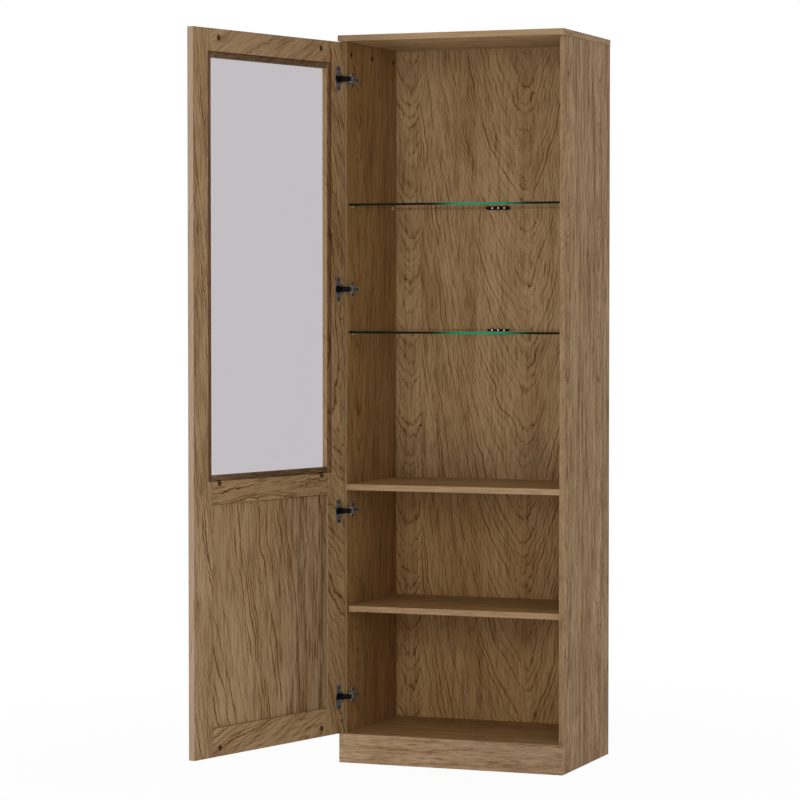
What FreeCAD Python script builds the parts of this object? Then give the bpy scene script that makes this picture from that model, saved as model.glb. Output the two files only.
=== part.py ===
import FreeCAD, Part
import math
import os
import Sketcher

# Bookcase with one framed glass door: a board carcass joined with cam locks and dowels, and a door
# hung on four concealed hinges.
#
# Frame: millimetres, +Z up, +X to the right of someone facing the door, +Y from the door to the wall.
# The origin is on the floor at mid width, under the middle of the plinth board's thickness.
# The door rests fully open. Its pieces are drawn closed and turned together about the hinge pole,
# the vertical line that stands in for the hinges' centre of turning.

SIZES = {
    # carcass
    "overall_height": 2000.0,
    "carcass_width": 648.0,
    "side_depth": 398.0,
    "board": 16.0,
    "top_overhang": 1.0,
    "plinth_height": 80.0,
    "back_thickness": 3.0,
    "back_inset": 16.0,
    "back_edge_gap": 0.5,
    "groove_depth": 6.0,
    "groove_slack": 0.1,
    "fixed_shelf_top": 768.5,
    # loose shelves
    "adjustable_shelf_top": 431.5,
    "upper_glass_top": 1541.0,
    "lower_glass_top": 1190.0,
    "glass_shelf_thickness": 6.0,
    "shelf_front_inset": 14.0,
    "shelf_back_gap": 7.0,
    "shelf_side_gap": 1.0,
    "shelf_pin_radius": 2.5,
    "shelf_pin_depth": 10.0,
    "shelf_pin_reach": 9.0,
    "shelf_pin_inset": 37.0,
    "shelf_pin_foot_radius": 2.0,
    "shelf_pin_foot_length": 0.5,
    "shelf_pin_nose_radius": 1.75,
    "shelf_pin_nose_length": 0.8,
    # clearances and bores shared by the fasteners
    "seat_clearance": 0.02,
    "running_clearance": 0.05,
    "bore_overrun": 0.5,
    # wood dowels
    "dowel_radius": 4.0,
    "dowel_length": 30.0,
    "dowel_chamfer": 1.0,
    "dowel_in_face": 11.0,
    "dowel_pitch": 32.0,
    "plinth_dowel_low": 20.0,
    "plinth_dowel_high": 60.0,
    "plinth_dowel_offset": 150.0,
    # cam locks and their bolts
    "cam_radius": 7.4,
    "cam_clearance": 0.1,
    "cam_above_axis": 5.2,
    "cam_below_axis": 4.5,
    "cam_slot_half": 2.4,
    "cam_pocket_half": 3.6,
    "cam_head_gap": 0.2,
    "cam_head_room": 0.5,
    "cam_drive_depth": 1.2,
    "cam_drive_width": 1.6,
    "cam_drive_length": 9.0,
    "case_cam_setback": 34.0,
    "door_cam_setback": 29.0,
    "bolt_head_radius": 3.2,
    "bolt_head_length": 2.5,
    "bolt_neck_radius": 1.9,
    "bolt_neck_length": 8.0,
    "bolt_shaft_radius": 3.4,
    "bolt_shaft_clearance": 0.2,
    "bolt_thread_radius": 2.5,
    "bolt_thread_length": 11.0,
    "bolt_tip_radius": 1.25,
    "bolt_tip_length": 1.0,
    "top_cam_front": 37.0,
    "top_cam_middle": 194.0,
    "top_cam_rear": 356.0,
    "shelf_cam_front": 52.0,
    "shelf_cam_rear": 322.0,
    # door
    "door_side_gap": 2.0,
    "door_end_gap": 3.0,
    "door_back_gap": 3.0,
    "door_thickness": 19.0,
    "stile_width": 75.0,
    "rail_width": 75.0,
    "mid_rail_bottom": 745.0,
    "rabbet_width": 16.0,
    "rabbet_slack": 0.3,
    "door_glass_thickness": 4.0,
    "panel_thickness": 6.0,
    "panel_lip": 8.0,
    "door_cam_inset": 22.5,
    "mid_cam_inset": 21.0,
    "open_angle": 105.0,
    # hinges: the pole, the cup and its flange
    "pole_inset": 3.0,
    "pole_depth": 9.0,
    "hinge_end_offset": 100.0,
    "upper_mid_hinge": 1305.5,
    "lower_mid_hinge": 696.0,
    "cup_radius": 17.5,
    "cup_wall": 1.0,
    "cup_floor": 0.8,
    "cup_depth": 12.5,
    "cup_edge_distance": 22.5,
    "flange_thickness": 1.2,
    "flange_length": 66.0,
    "flange_width": 20.0,
    "flange_shoulder": 1.0,
    "cup_screw_offset": 5.5,
    "cup_screw_pitch": 52.0,
    # hinges: the link between cup and arm
    "cup_pin_orbit": 9.2,
    "arm_pin_orbit": 24.5,
    "link_line_angle": 3.2,
    "cup_pin_radius": 1.0,
    "cup_pin_half": 8.4,
    "arm_pin_radius": 1.0,
    "link_thickness": 1.5,
    "link_barrel_radius": 2.0,
    "link_neck_half": 4.5,
    "link_neck_length": 5.0,
    "link_half": 7.0,
    "link_notch_gap": 0.4,
    # hinges: the arm
    "arm_half": 8.8,
    "arm_wall": 1.5,
    "arm_web": 1.2,
    "arm_lift": 12.0,
    "arm_cheek_back": 26.0,
    "arm_cheek_depth": 8.5,
    "arm_reach_back": 66.0,
    "arm_tail_half": 5.5,
    "arm_nose_wall": 1.2,
    "arm_slot_play": 0.6,
    "arm_crank_back": 6.0,
    "arm_crank_front": 2.5,
    "arm_crank_out": 6.0,
    "arm_hole_gap": 0.2,
    "arm_pin_recess": 0.2,
    "arm_screw_front": 30.0,
    "arm_screw_rear": 50.0,
    # hinges: the mounting plate
    "plate_base": 2.0,
    "plate_front": 20.0,
    "plate_rear": 56.0,
    "plate_line": 37.0,
    "plate_wing_half": 21.0,
    "plate_wing_width": 13.0,
    "plate_rib_half": 5.5,
    "plate_rib_step": 0.5,
    "plate_screw_pitch": 32.0,
    "corner_radius": 3.0,
    # screws
    "wood_screw_radius": 1.5,
    "wood_screw_length": 12.0,
    "wood_screw_tip": 2.0,
    "wood_head_radius": 3.3,
    "wood_head_height": 1.8,
    "screw_hole_gap": 0.2,
    "arm_screw_radius": 2.4,
    "arm_screw_length": 8.0,
    "arm_head_radius": 3.8,
    "arm_head_height": 2.2,
    "drive_depth": 1.0,
    "drive_width": 1.0,
    # light clips on the glass shelves
    "clip_start": -26.0,
    "clip_end": 35.5,
    "clip_point": 8.0,
    "clip_above": 3.2,
    "clip_below": 5.0,
    "clip_lip": 3.4,
    "clip_body": 6.0,
    "clip_grip": 0.1,
    "lens_width": 5.5,
    "lens_depth": 2.0,
    "lens_margin": 1.0,
    "lens_first": -14.0,
    "lens_pitch": 18.0,
}

# Places that several pieces share, as expressions of the sheet's sizes.
SIDE_FRONT = "(Sizes.board / 2)"
SIDE_BACK = f"({SIDE_FRONT} + Sizes.side_depth)"
BACK_FACE = f"({SIDE_BACK} - Sizes.back_inset - Sizes.back_thickness)"
SIDE_OUT = "(Sizes.carcass_width / 2)"
SIDE_IN = f"({SIDE_OUT} - Sizes.board)"
SIDE_MID = f"({SIDE_OUT} - Sizes.board / 2)"
SIDE_TOP = "(Sizes.overall_height - Sizes.board)"
BOTTOM_LOW = "(Sizes.plinth_height - Sizes.board)"
FIXED_LOW = "(Sizes.fixed_shelf_top - Sizes.board)"
SHELF_FRONT = f"({SIDE_FRONT} + Sizes.shelf_front_inset)"
SHELF_BACK = f"({BACK_FACE} - Sizes.shelf_back_gap)"
SHELF_OUT = f"({SIDE_IN} - Sizes.shelf_side_gap)"

DOOR_IN = f"({SIDE_FRONT} - Sizes.door_back_gap)"
DOOR_OUT = f"({DOOR_IN} - Sizes.door_thickness)"
DOOR_MID = f"({DOOR_IN} - Sizes.door_thickness / 2)"
DOOR_HALF = f"({SIDE_OUT} - Sizes.door_side_gap)"
DOOR_LOW = "(Sizes.plinth_height + Sizes.door_end_gap)"
DOOR_HIGH = f"({SIDE_TOP} - Sizes.door_end_gap)"
SIGHT_HALF = f"({DOOR_HALF} - Sizes.stile_width)"
BOTTOM_RAIL_TOP = f"({DOOR_LOW} + Sizes.rail_width)"
MID_RAIL_TOP = "(Sizes.mid_rail_bottom + Sizes.rail_width)"
TOP_RAIL_LOW = f"({DOOR_HIGH} - Sizes.rail_width)"
PANEL_OUT = f"({DOOR_MID} - Sizes.panel_thickness / 2)"
PANEL_IN = f"({DOOR_MID} + Sizes.panel_thickness / 2)"

POLE_X = f"(-{DOOR_HALF} + Sizes.pole_inset)"
POLE_Y = f"({DOOR_IN} - Sizes.pole_depth)"
CUP_X = f"(-{DOOR_HALF} + Sizes.cup_edge_distance)"

# The link turns on a pin in the cup, at cup_pin_orbit from the pole. Its other pin lies on the line
# that leaves the pole at link_line_angle, at arm_pin_orbit when the door is open or closed.
HALF_TURN = "(Sizes.open_angle / 2)"
LINK_LENGTH = (
    "sqrt(Sizes.arm_pin_orbit ^ 2 + Sizes.cup_pin_orbit ^ 2"
    f" - 2 * Sizes.arm_pin_orbit * Sizes.cup_pin_orbit * cos({HALF_TURN}))"
)
LINK_TILT = f"asin(Sizes.cup_pin_orbit * sin({HALF_TURN}) / {LINK_LENGTH})"
CUP_PIN_OPEN_X = f"({POLE_X} + Sizes.cup_pin_orbit * cos(Sizes.link_line_angle - {HALF_TURN}))"
CUP_PIN_OPEN_Y = f"({POLE_Y} + Sizes.cup_pin_orbit * sin(Sizes.link_line_angle - {HALF_TURN}))"
CUP_PIN_SHUT_X = f"({POLE_X} + Sizes.cup_pin_orbit * cos(Sizes.link_line_angle + {HALF_TURN}))"
CUP_PIN_SHUT_Y = f"({POLE_Y} + Sizes.cup_pin_orbit * sin(Sizes.link_line_angle + {HALF_TURN}))"
ARM_PIN_X = f"({POLE_X} + Sizes.arm_pin_orbit * cos(Sizes.link_line_angle))"
ARM_PIN_Y = f"({POLE_Y} + Sizes.arm_pin_orbit * sin(Sizes.link_line_angle))"

HINGE_HEIGHTS = [
    f"({DOOR_HIGH} - Sizes.hinge_end_offset)",
    "Sizes.upper_mid_hinge",
    "Sizes.lower_mid_hinge",
    f"({DOOR_LOW} + Sizes.hinge_end_offset)",
]

# How far a cutter runs past the face that it opens, and past the arm where the channel is cut.
OVERRUN = "1"
CHANNEL_OVERRUN = "10"
# A screw's flat crown and head rim, its point and its driver's cross, as shares of its own sizes.
CROWN_SHARE = 0.75
RIM_SHARE = 0.5
POINT_SHARE = 0.3
CROSS_SHARE = 1.5

X_AXIS = FreeCAD.Vector(1, 0, 0)
Y_AXIS = FreeCAD.Vector(0, 1, 0)
Z_AXIS = FreeCAD.Vector(0, 0, 1)
AXES = {"+x": X_AXIS, "-x": -X_AXIS, "+y": Y_AXIS, "-y": -Y_AXIS, "+z": Z_AXIS, "-z": -Z_AXIS}

doc = FreeCAD.newDocument("Bookcase")
sheet = doc.addObject("Spreadsheet::Sheet", "Sizes")
for row, (alias, size) in enumerate(SIZES.items(), start=1):
    sheet.set(f"A{row}", alias)
    sheet.set(f"B{row}", str(size))
    sheet.setAlias(f"B{row}", alias)
doc.recompute()

nodes = []


# Helpers


def bind(item, sizes):
    """Ties each property named in sizes to its expression."""
    for name, expression in sizes.items():
        item.setExpression(name, str(expression))


def value(expression):
    """Today's value of an expression of the sheet's sizes."""
    return float(sheet.evalExpression(str(expression)))


def block(name, x_span, y_span, z_span):
    """A board or a box-shaped cutter between two places along each axis."""
    item = doc.addObject("Part::Box", name)
    spans = {"x": x_span, "y": y_span, "z": z_span}
    for axis, side in (("x", "Length"), ("y", "Width"), ("z", "Height")):
        low, high = spans[axis]
        bind(item, {side: f"({high}) - ({low})", f"Placement.Base.{axis}": low})
    return item


def facing(x_axis, z_axis):
    """The turn that carries local X and local Z onto two world axes."""
    return FreeCAD.Rotation(AXES[x_axis], FreeCAD.Vector(), AXES[z_axis], "XZY")


def place(x, y, z, turn=FreeCAD.Rotation()):
    return (x, y, z, turn)


def copies(name, master, places):
    """One master solid set at many places, as one object of separate solids."""
    links = []
    for index, (x, y, z, turn) in enumerate(places):
        link = doc.addObject("App::Link", f"{name}_at_{index}")
        link.LinkedObject = master
        link.Placement = FreeCAD.Placement(FreeCAD.Vector(), turn)
        bind(link, {"Placement.Base.x": x, "Placement.Base.y": y, "Placement.Base.z": z})
        links.append(link)
    group = doc.addObject("Part::Compound", name)
    group.Links = links
    return group


def cut(base, *tools):
    """The base with each tool taken away in turn."""
    for tool in tools:
        result = doc.addObject("Part::Cut", f"{base.Name}_cut")
        result.Base = base
        result.Tool = tool
        base = result
    return base


def node(label, item):
    """Names a finished sub-part, which is exported under that name."""
    item.Label = label
    nodes.append(item)
    return item


def door_node(label, item):
    """A sub-part drawn closed, turned open about the hinge pole."""
    turned = doc.addObject("Part::Compound", f"{label}_open")
    turned.Links = [item]
    turned.Placement = FreeCAD.Placement(FreeCAD.Vector(), FreeCAD.Rotation(Z_AXIS, -1))
    turned_x = f"({POLE_X} * cos(Sizes.open_angle) + {POLE_Y} * sin(Sizes.open_angle))"
    turned_y = f"({POLE_Y} * cos(Sizes.open_angle) - {POLE_X} * sin(Sizes.open_angle))"
    bind(turned, {
        "Placement.Rotation.Angle": "-Sizes.open_angle",
        "Placement.Base.x": f"{POLE_X} - {turned_x}",
        "Placement.Base.y": f"{POLE_Y} - {turned_y}",
    })
    return node(label, turned)


def new_body(name):
    return doc.addObject("PartDesign::Body", name)


def sketch_on(body, role, offset="0"):
    """A sketch on one of the body's origin planes, moved along that plane's normal."""
    sketch = body.newObject("Sketcher::SketchObject", f"{body.Name}_sketch")
    plane = [item for item in body.Origin.OriginFeatures if item.Role == role][0]
    sketch.AttachmentSupport = [(plane, "")]
    sketch.MapMode = "FlatFace"
    bind(sketch, {"AttachmentOffset.Base.z": offset})
    return sketch


def outline(sketch, corners):
    """A closed polygon whose corners are tied to expressions."""
    spots = [FreeCAD.Vector(value(x), value(y), 0) for x, y in corners]
    first = sketch.GeometryCount
    for start, end in zip(spots, spots[1:] + spots[:1]):
        sketch.addGeometry(Part.LineSegment(start, end))
    for index in range(len(corners)):
        following = (index + 1) % len(corners)
        sketch.addConstraint(Sketcher.Constraint("Coincident", first + index, 2, first + following, 1))
    for index, (corner, spot) in enumerate(zip(corners, spots)):
        for kind, size, expression in (("DistanceX", spot.x, corner[0]), ("DistanceY", spot.y, corner[1])):
            tie = sketch.addConstraint(Sketcher.Constraint(kind, -1, 1, first + index, 1, size))
            bind(sketch, {f"Constraints[{tie}]": expression})


def circle(sketch, x, y, radius):
    """A circle whose centre and radius are tied to expressions."""
    centre = FreeCAD.Vector(value(x), value(y), 0)
    index = sketch.addGeometry(Part.Circle(centre, Z_AXIS, value(radius)))
    ties = (
        (Sketcher.Constraint("Radius", index, value(radius)), radius),
        (Sketcher.Constraint("DistanceX", -1, 1, index, 3, centre.x), x),
        (Sketcher.Constraint("DistanceY", -1, 1, index, 3, centre.y), y),
    )
    for constraint, expression in ties:
        tie = sketch.addConstraint(constraint)
        bind(sketch, {f"Constraints[{tie}]": expression})


def rectangle(sketch, x_low, x_high, y_low, y_high):
    outline(sketch, [(x_low, y_low), (x_high, y_low), (x_high, y_high), (x_low, y_high)])


def stadium(sketch, x_low, x_high, y, radius):
    """A slot along X with round ends, given by its two centres."""
    left = FreeCAD.Vector(value(x_low), value(y), 0)
    right = FreeCAD.Vector(value(x_high), value(y), 0)
    reach = FreeCAD.Vector(0, value(radius), 0)
    left_end = sketch.addGeometry(
        Part.ArcOfCircle(Part.Circle(left, Z_AXIS, value(radius)), math.pi / 2, 3 * math.pi / 2))
    right_end = sketch.addGeometry(
        Part.ArcOfCircle(Part.Circle(right, Z_AXIS, value(radius)), -math.pi / 2, math.pi / 2))
    lower = sketch.addGeometry(Part.LineSegment(left - reach, right - reach))
    upper = sketch.addGeometry(Part.LineSegment(right + reach, left + reach))
    turns = (
        (left_end, 2, lower, 1), (lower, 2, right_end, 1),
        (right_end, 2, upper, 1), (upper, 2, left_end, 1),
    )
    for turn in turns:
        sketch.addConstraint(Sketcher.Constraint("Tangent", *turn))
    sketch.addConstraint(Sketcher.Constraint("Equal", left_end, right_end))
    ties = (
        (Sketcher.Constraint("Radius", left_end, value(radius)), radius),
        (Sketcher.Constraint("DistanceX", -1, 1, left_end, 3, left.x), x_low),
        (Sketcher.Constraint("DistanceX", -1, 1, right_end, 3, right.x), x_high),
        (Sketcher.Constraint("DistanceY", -1, 1, left_end, 3, left.y), y),
        (Sketcher.Constraint("DistanceY", -1, 1, right_end, 3, right.y), y),
    )
    for constraint, expression in ties:
        tie = sketch.addConstraint(constraint)
        bind(sketch, {f"Constraints[{tie}]": expression})


def pad(body, sketch, length, midplane=False, reverse=False):
    feature = body.newObject("PartDesign::Pad", f"{body.Name}_pad")
    feature.Profile = sketch
    feature.Midplane = midplane
    feature.Reversed = reverse
    bind(feature, {"Length": length})
    doc.recompute()
    return feature


def pocket(body, sketch, length, midplane=False, reverse=False):
    """A pocket that has to take something away."""
    before = body.Shape.Volume
    feature = body.newObject("PartDesign::Pocket", f"{body.Name}_pocket")
    feature.Profile = sketch
    feature.Midplane = midplane
    feature.Reversed = reverse
    bind(feature, {"Length": length})
    doc.recompute()
    if not feature.Shape.Volume < before:
        raise RuntimeError(f"{feature.Name} cuts nothing")
    return feature


def revolve(body, corners):
    """A turned solid: corners give (place along X, radius) and turn about X."""
    sketch = sketch_on(body, "XY_Plane")
    outline(sketch, corners)
    feature = body.newObject("PartDesign::Revolution", f"{body.Name}_turn")
    feature.Profile = sketch
    feature.ReferenceAxis = (sketch, ["H_Axis"])
    feature.Angle = 360
    doc.recompute()
    return feature


def round_corners(body, axis, radius):
    """Fillets every straight edge that runs along an axis."""
    names = []
    for index, edge in enumerate(body.Shape.Edges, start=1):
        if edge.Curve.TypeId != "Part::GeomLine":
            continue
        off_axis = edge.Curve.Direction.cross(axis).Length
        if off_axis < Part.Precision.confusion():
            names.append(f"Edge{index}")
    rough = body.Tip
    feature = body.newObject("PartDesign::Fillet", f"{body.Name}_fillet")
    feature.Base = (rough, names)
    bind(feature, {"Radius": radius})
    doc.recompute()
    return feature


# Turned fasteners, all drawn along local X


def dowel_master():
    body = new_body("Dowel")
    chamfer = "Sizes.dowel_chamfer"
    length = "Sizes.dowel_length"
    revolve(body, [
        ("0", "0"), ("0", f"Sizes.dowel_radius - {chamfer}"), (chamfer, "Sizes.dowel_radius"),
        (f"{length} - {chamfer}", "Sizes.dowel_radius"),
        (length, f"Sizes.dowel_radius - {chamfer}"), (length, "0"),
    ])
    return body


def bore_master(name, start, end, radius):
    """The cutter of a round bore along local X."""
    body = new_body(name)
    revolve(body, [(start, "0"), (start, radius), (end, radius), (end, "0")])
    return body


def bolt_master(name, setback):
    """A cam bolt: its head sits at the cam's centre and its thread in the board it meets."""
    body = new_body(name)
    head = "-Sizes.bolt_head_length"
    tip = f"{setback} + Sizes.bolt_thread_length"
    revolve(body, [
        (head, "0"), (head, "Sizes.bolt_head_radius"), ("0", "Sizes.bolt_head_radius"),
        ("0", "Sizes.bolt_neck_radius"), ("Sizes.bolt_neck_length", "Sizes.bolt_neck_radius"),
        ("Sizes.bolt_neck_length", "Sizes.bolt_shaft_radius"), (setback, "Sizes.bolt_shaft_radius"),
        (setback, "Sizes.bolt_thread_radius"),
        (f"{tip} - Sizes.bolt_tip_length", "Sizes.bolt_thread_radius"),
        (tip, "Sizes.bolt_tip_radius"), (tip, "0"),
    ])
    return body


def shelf_pin_master():
    """A shelf pin: local X runs from the end inside the board to the end under the shelf."""
    body = new_body("ShelfPin")
    end = "Sizes.shelf_pin_depth + Sizes.shelf_pin_reach"
    radius = "Sizes.shelf_pin_radius"
    revolve(body, [
        ("0", "0"), ("0", "Sizes.shelf_pin_foot_radius"), ("Sizes.shelf_pin_foot_length", radius),
        (f"{end} - Sizes.shelf_pin_nose_length", radius), (end, "Sizes.shelf_pin_nose_radius"),
        (end, "0"),
    ])
    return body


def drive_cross(body, face, depth, width, length):
    """A cross recess for a driver, cut from a face that looks along local X."""
    for half_y, half_z in ((f"{length} / 2", f"{width} / 2"), (f"{width} / 2", f"{length} / 2")):
        sketch = sketch_on(body, "YZ_Plane", face)
        rectangle(sketch, f"-({half_y})", half_y, f"-({half_z})", half_z)
        pocket(body, sketch, depth)


def screw_master(name, radius, length, tip, head_radius, head_height):
    """A screw whose head sits on local X = 0 and whose shank points along -X."""
    body = new_body(name)
    crown = f"{head_radius} * {CROWN_SHARE}"
    cross = f"{crown} * {CROSS_SHARE}"
    revolve(body, [
        (f"-({length})", "0"), (f"-({length})", f"{radius} * {POINT_SHARE}"),
        (f"-({length}) + {tip}", radius), ("0", radius), ("0", head_radius),
        (f"{head_height} * {RIM_SHARE}", head_radius), (head_height, crown), (head_height, "0"),
    ])
    drive_cross(body, head_height, "Sizes.drive_depth", "Sizes.drive_width", cross)
    return body


def cam_master():
    """A cam lock: local Z points out of its bore, local X to the bolt, whose axis is at Z = 0."""
    body = new_body("CamLock")
    drum = sketch_on(body, "XY_Plane", "-Sizes.cam_below_axis")
    circle(drum, "0", "0", "Sizes.cam_radius")
    pad(body, drum, "Sizes.cam_above_axis + Sizes.cam_below_axis")
    half = "Sizes.cam_pocket_half"
    slot = "Sizes.cam_slot_half"
    back = "-Sizes.bolt_head_length - Sizes.cam_head_room"
    neck = "Sizes.cam_head_gap"
    mouth = f"Sizes.cam_radius + {OVERRUN}"
    throat = sketch_on(body, "XY_Plane")
    outline(throat, [
        (back, f"-{half}"), (neck, f"-{half}"), (neck, f"-{slot}"), (mouth, f"-{slot}"),
        (mouth, slot), (neck, slot), (neck, half), (back, half),
    ])
    pocket(body, throat, f"2 * {half}", midplane=True)
    for half_x, half_y in (("length", "width"), ("width", "length")):
        cross = sketch_on(body, "XY_Plane", "Sizes.cam_above_axis")
        x_half = f"Sizes.cam_drive_{half_x} / 2"
        y_half = f"Sizes.cam_drive_{half_y} / 2"
        rectangle(cross, f"-{x_half}", x_half, f"-{y_half}", y_half)
        pocket(body, cross, "Sizes.cam_drive_depth")
    return body


def cam_bore_master():
    """The blind bore that a cam lock drops into, open along local Z."""
    body = new_body("CamBore")
    mouth = f"(Sizes.door_thickness / 2 + {OVERRUN})"
    drum = sketch_on(body, "XY_Plane", "-Sizes.cam_below_axis")
    circle(drum, "0", "0", "Sizes.cam_radius + Sizes.cam_clearance")
    pad(body, drum, f"{mouth} + Sizes.cam_below_axis")
    return body


def bolt_bores(name, setback, places):
    """The bores of cam bolts: the wide one through the board's edge and the thread's own."""
    shaft = bore_master(
        f"{name}Shaft", "0", setback, "Sizes.bolt_shaft_radius + Sizes.bolt_shaft_clearance",
    )
    thread = bore_master(
        f"{name}Thread", f"{setback} - {OVERRUN}",
        f"{setback} + Sizes.bolt_thread_length + Sizes.bore_overrun",
        "Sizes.bolt_thread_radius + Sizes.seat_clearance",
    )
    return copies(f"{name}ShaftBores", shaft, places), copies(f"{name}ThreadBores", thread, places)


# Where the fasteners go


def carcass_cam_places():
    """Cam centres in the sides' tops, and under the ends of the fixed shelf and the bottom."""
    top_cams = []
    shelf_cams = []
    for sign, inward, outward in ((-1, "+x", "-x"), (1, "-x", "+x")):
        for inset in ("top_cam_front", "top_cam_middle", "top_cam_rear"):
            top_cams.append(place(
                f"{sign} * {SIDE_MID}", f"{SIDE_FRONT} + Sizes.{inset}",
                f"{SIDE_TOP} - Sizes.case_cam_setback", facing("+z", inward),
            ))
        for low in (BOTTOM_LOW, FIXED_LOW):
            for inset in ("shelf_cam_front", "shelf_cam_rear"):
                shelf_cams.append(place(
                    f"{sign} * ({SIDE_IN} - Sizes.case_cam_setback)", f"{SIDE_FRONT} + Sizes.{inset}",
                    f"{low} + Sizes.board / 2", facing(outward, "-z"),
                ))
    return top_cams + shelf_cams


def carcass_dowel_places():
    """Dowels beside the cams, at the plinth's ends and along the bottom's front edge."""
    places = []
    for sign, outward in ((-1, "-x"), (1, "+x")):
        for y in ("top_cam_front + Sizes.dowel_pitch", "top_cam_rear - Sizes.dowel_pitch"):
            places.append(place(
                f"{sign} * {SIDE_MID}", f"{SIDE_FRONT} + Sizes.{y}",
                f"{SIDE_TOP} + Sizes.dowel_in_face - Sizes.dowel_length", facing("+z", "+x"),
            ))
        for low in (BOTTOM_LOW, FIXED_LOW):
            for y in ("shelf_cam_front + Sizes.dowel_pitch", "shelf_cam_rear - Sizes.dowel_pitch"):
                places.append(place(
                    f"{sign} * ({SIDE_IN} + Sizes.dowel_in_face - Sizes.dowel_length)",
                    f"{SIDE_FRONT} + Sizes.{y}", f"{low} + Sizes.board / 2", facing(outward, "+z"),
                ))
        into_plinth = f"{SIDE_FRONT} - Sizes.dowel_in_face + Sizes.dowel_length"
        for z in ("plinth_dowel_low", "plinth_dowel_high"):
            places.append(place(f"{sign} * {SIDE_MID}", into_plinth, f"Sizes.{z}", facing("-y", "+z")))
        places.append(place(
            f"{sign} * Sizes.plinth_dowel_offset", into_plinth,
            "Sizes.plinth_height - Sizes.board / 2", facing("-y", "+z"),
        ))
    return places


DOOR_CAM_HEIGHTS = [
    f"{DOOR_HIGH} - Sizes.door_cam_inset",
    f"{MID_RAIL_TOP} - Sizes.mid_cam_inset",
    f"{DOOR_LOW} + Sizes.door_cam_inset",
]
DOOR_DOWEL_HEIGHTS = [
    f"{DOOR_HIGH} - Sizes.door_cam_inset - Sizes.dowel_pitch",
    "Sizes.mid_rail_bottom + Sizes.door_cam_inset",
    f"{DOOR_LOW} + Sizes.door_cam_inset + Sizes.dowel_pitch",
]


def door_cam_places():
    places = []
    for sign, outward in ((-1, "-x"), (1, "+x")):
        for z in DOOR_CAM_HEIGHTS:
            x = f"{sign} * ({SIGHT_HALF} - Sizes.door_cam_setback)"
            places.append(place(x, DOOR_MID, z, facing(outward, "+y")))
    return places


def door_dowel_places():
    places = []
    for sign, outward in ((-1, "-x"), (1, "+x")):
        for z in DOOR_DOWEL_HEIGHTS:
            x = f"{sign} * ({SIGHT_HALF} + Sizes.dowel_in_face - Sizes.dowel_length)"
            places.append(place(x, DOOR_MID, z, facing(outward, "+z")))
    return places


def shelf_pin_places(low):
    """The four pins under a loose shelf whose underside is at low."""
    places = []
    for sign, inward in ((-1, "+x"), (1, "-x")):
        for y in (f"{SIDE_FRONT} + Sizes.shelf_pin_inset", f"{BACK_FACE} - Sizes.shelf_pin_inset"):
            places.append(place(
                f"{sign} * ({SIDE_IN} + Sizes.shelf_pin_depth)", y,
                f"{low} - Sizes.shelf_pin_radius", facing(inward, "+z"),
            ))
    return places


def plate_screw_places():
    x = f"-{SIDE_IN} + Sizes.plate_base"
    y = f"{SIDE_FRONT} + Sizes.plate_line"
    return [
        place(x, y, f"{z} + {sign} * Sizes.plate_screw_pitch / 2")
        for z in HINGE_HEIGHTS for sign in (-1, 1)
    ]


def arm_screw_places():
    x = f"-{SIDE_IN} + Sizes.arm_lift"
    return [
        place(x, f"{SIDE_FRONT} + Sizes.{inset}", z)
        for z in HINGE_HEIGHTS for inset in ("arm_screw_front", "arm_screw_rear")
    ]


def cup_screw_places():
    x = f"{CUP_X} + Sizes.cup_screw_offset"
    y = f"{DOOR_IN} + Sizes.flange_thickness"
    return [
        place(x, y, f"{z} + {sign} * Sizes.cup_screw_pitch / 2", facing("+y", "+z"))
        for z in HINGE_HEIGHTS for sign in (-1, 1)
    ]


# Hinge parts. The plate and the arm are drawn from the side's inner face and front edge, the cup from
# its own centre on the door's inner face, and the link from the pin in the cup.


def side_x(world):
    return f"({world} + {SIDE_IN})"


def side_y(world):
    return f"({world} - {SIDE_FRONT})"


def mounting_plate():
    """A base with two screw wings and a rib that lifts the arm."""
    body = new_body("MountingPlate")
    wing_low = "Sizes.plate_line - Sizes.plate_wing_width / 2"
    wing_high = "Sizes.plate_line + Sizes.plate_wing_width / 2"
    rib = "Sizes.plate_rib_half"
    wing = "Sizes.plate_wing_half"
    base = sketch_on(body, "YZ_Plane")
    outline(base, [
        ("Sizes.plate_front", f"-{rib}"), (wing_low, f"-{rib}"), (wing_low, f"-{wing}"),
        (wing_high, f"-{wing}"), (wing_high, f"-{rib}"), ("Sizes.plate_rear", f"-{rib}"),
        ("Sizes.plate_rear", rib), (wing_high, rib), (wing_high, wing),
        (wing_low, wing), (wing_low, rib), ("Sizes.plate_front", rib),
    ])
    pad(body, base, "Sizes.plate_base")
    round_corners(body, X_AXIS, "Sizes.corner_radius")
    top = sketch_on(body, "YZ_Plane", "Sizes.plate_base / 2")
    rib_front = "Sizes.plate_front + Sizes.corner_radius"
    rib_rear = "Sizes.plate_rear - Sizes.corner_radius"
    rib_top = f"({rib} - Sizes.plate_rib_step)"
    rectangle(top, rib_front, rib_rear, f"-{rib_top}", rib_top)
    pad(body, top, "Sizes.arm_lift - Sizes.arm_web - Sizes.plate_base / 2")
    threads = sketch_on(body, "YZ_Plane", "Sizes.arm_lift - Sizes.arm_web")
    for inset in ("arm_screw_front", "arm_screw_rear"):
        circle(threads, f"Sizes.{inset}", "0", "Sizes.arm_screw_radius + Sizes.seat_clearance")
    pocket(body, threads, "Sizes.arm_screw_length - Sizes.arm_web + Sizes.bore_overrun")
    holes = sketch_on(body, "YZ_Plane", "Sizes.plate_base")
    for sign in ("", "-"):
        circle(holes, "Sizes.plate_line", f"{sign}Sizes.plate_screw_pitch / 2",
               "Sizes.wood_screw_radius + Sizes.screw_hole_gap")
    pocket(body, holes, "Sizes.plate_base")
    return body


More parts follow.
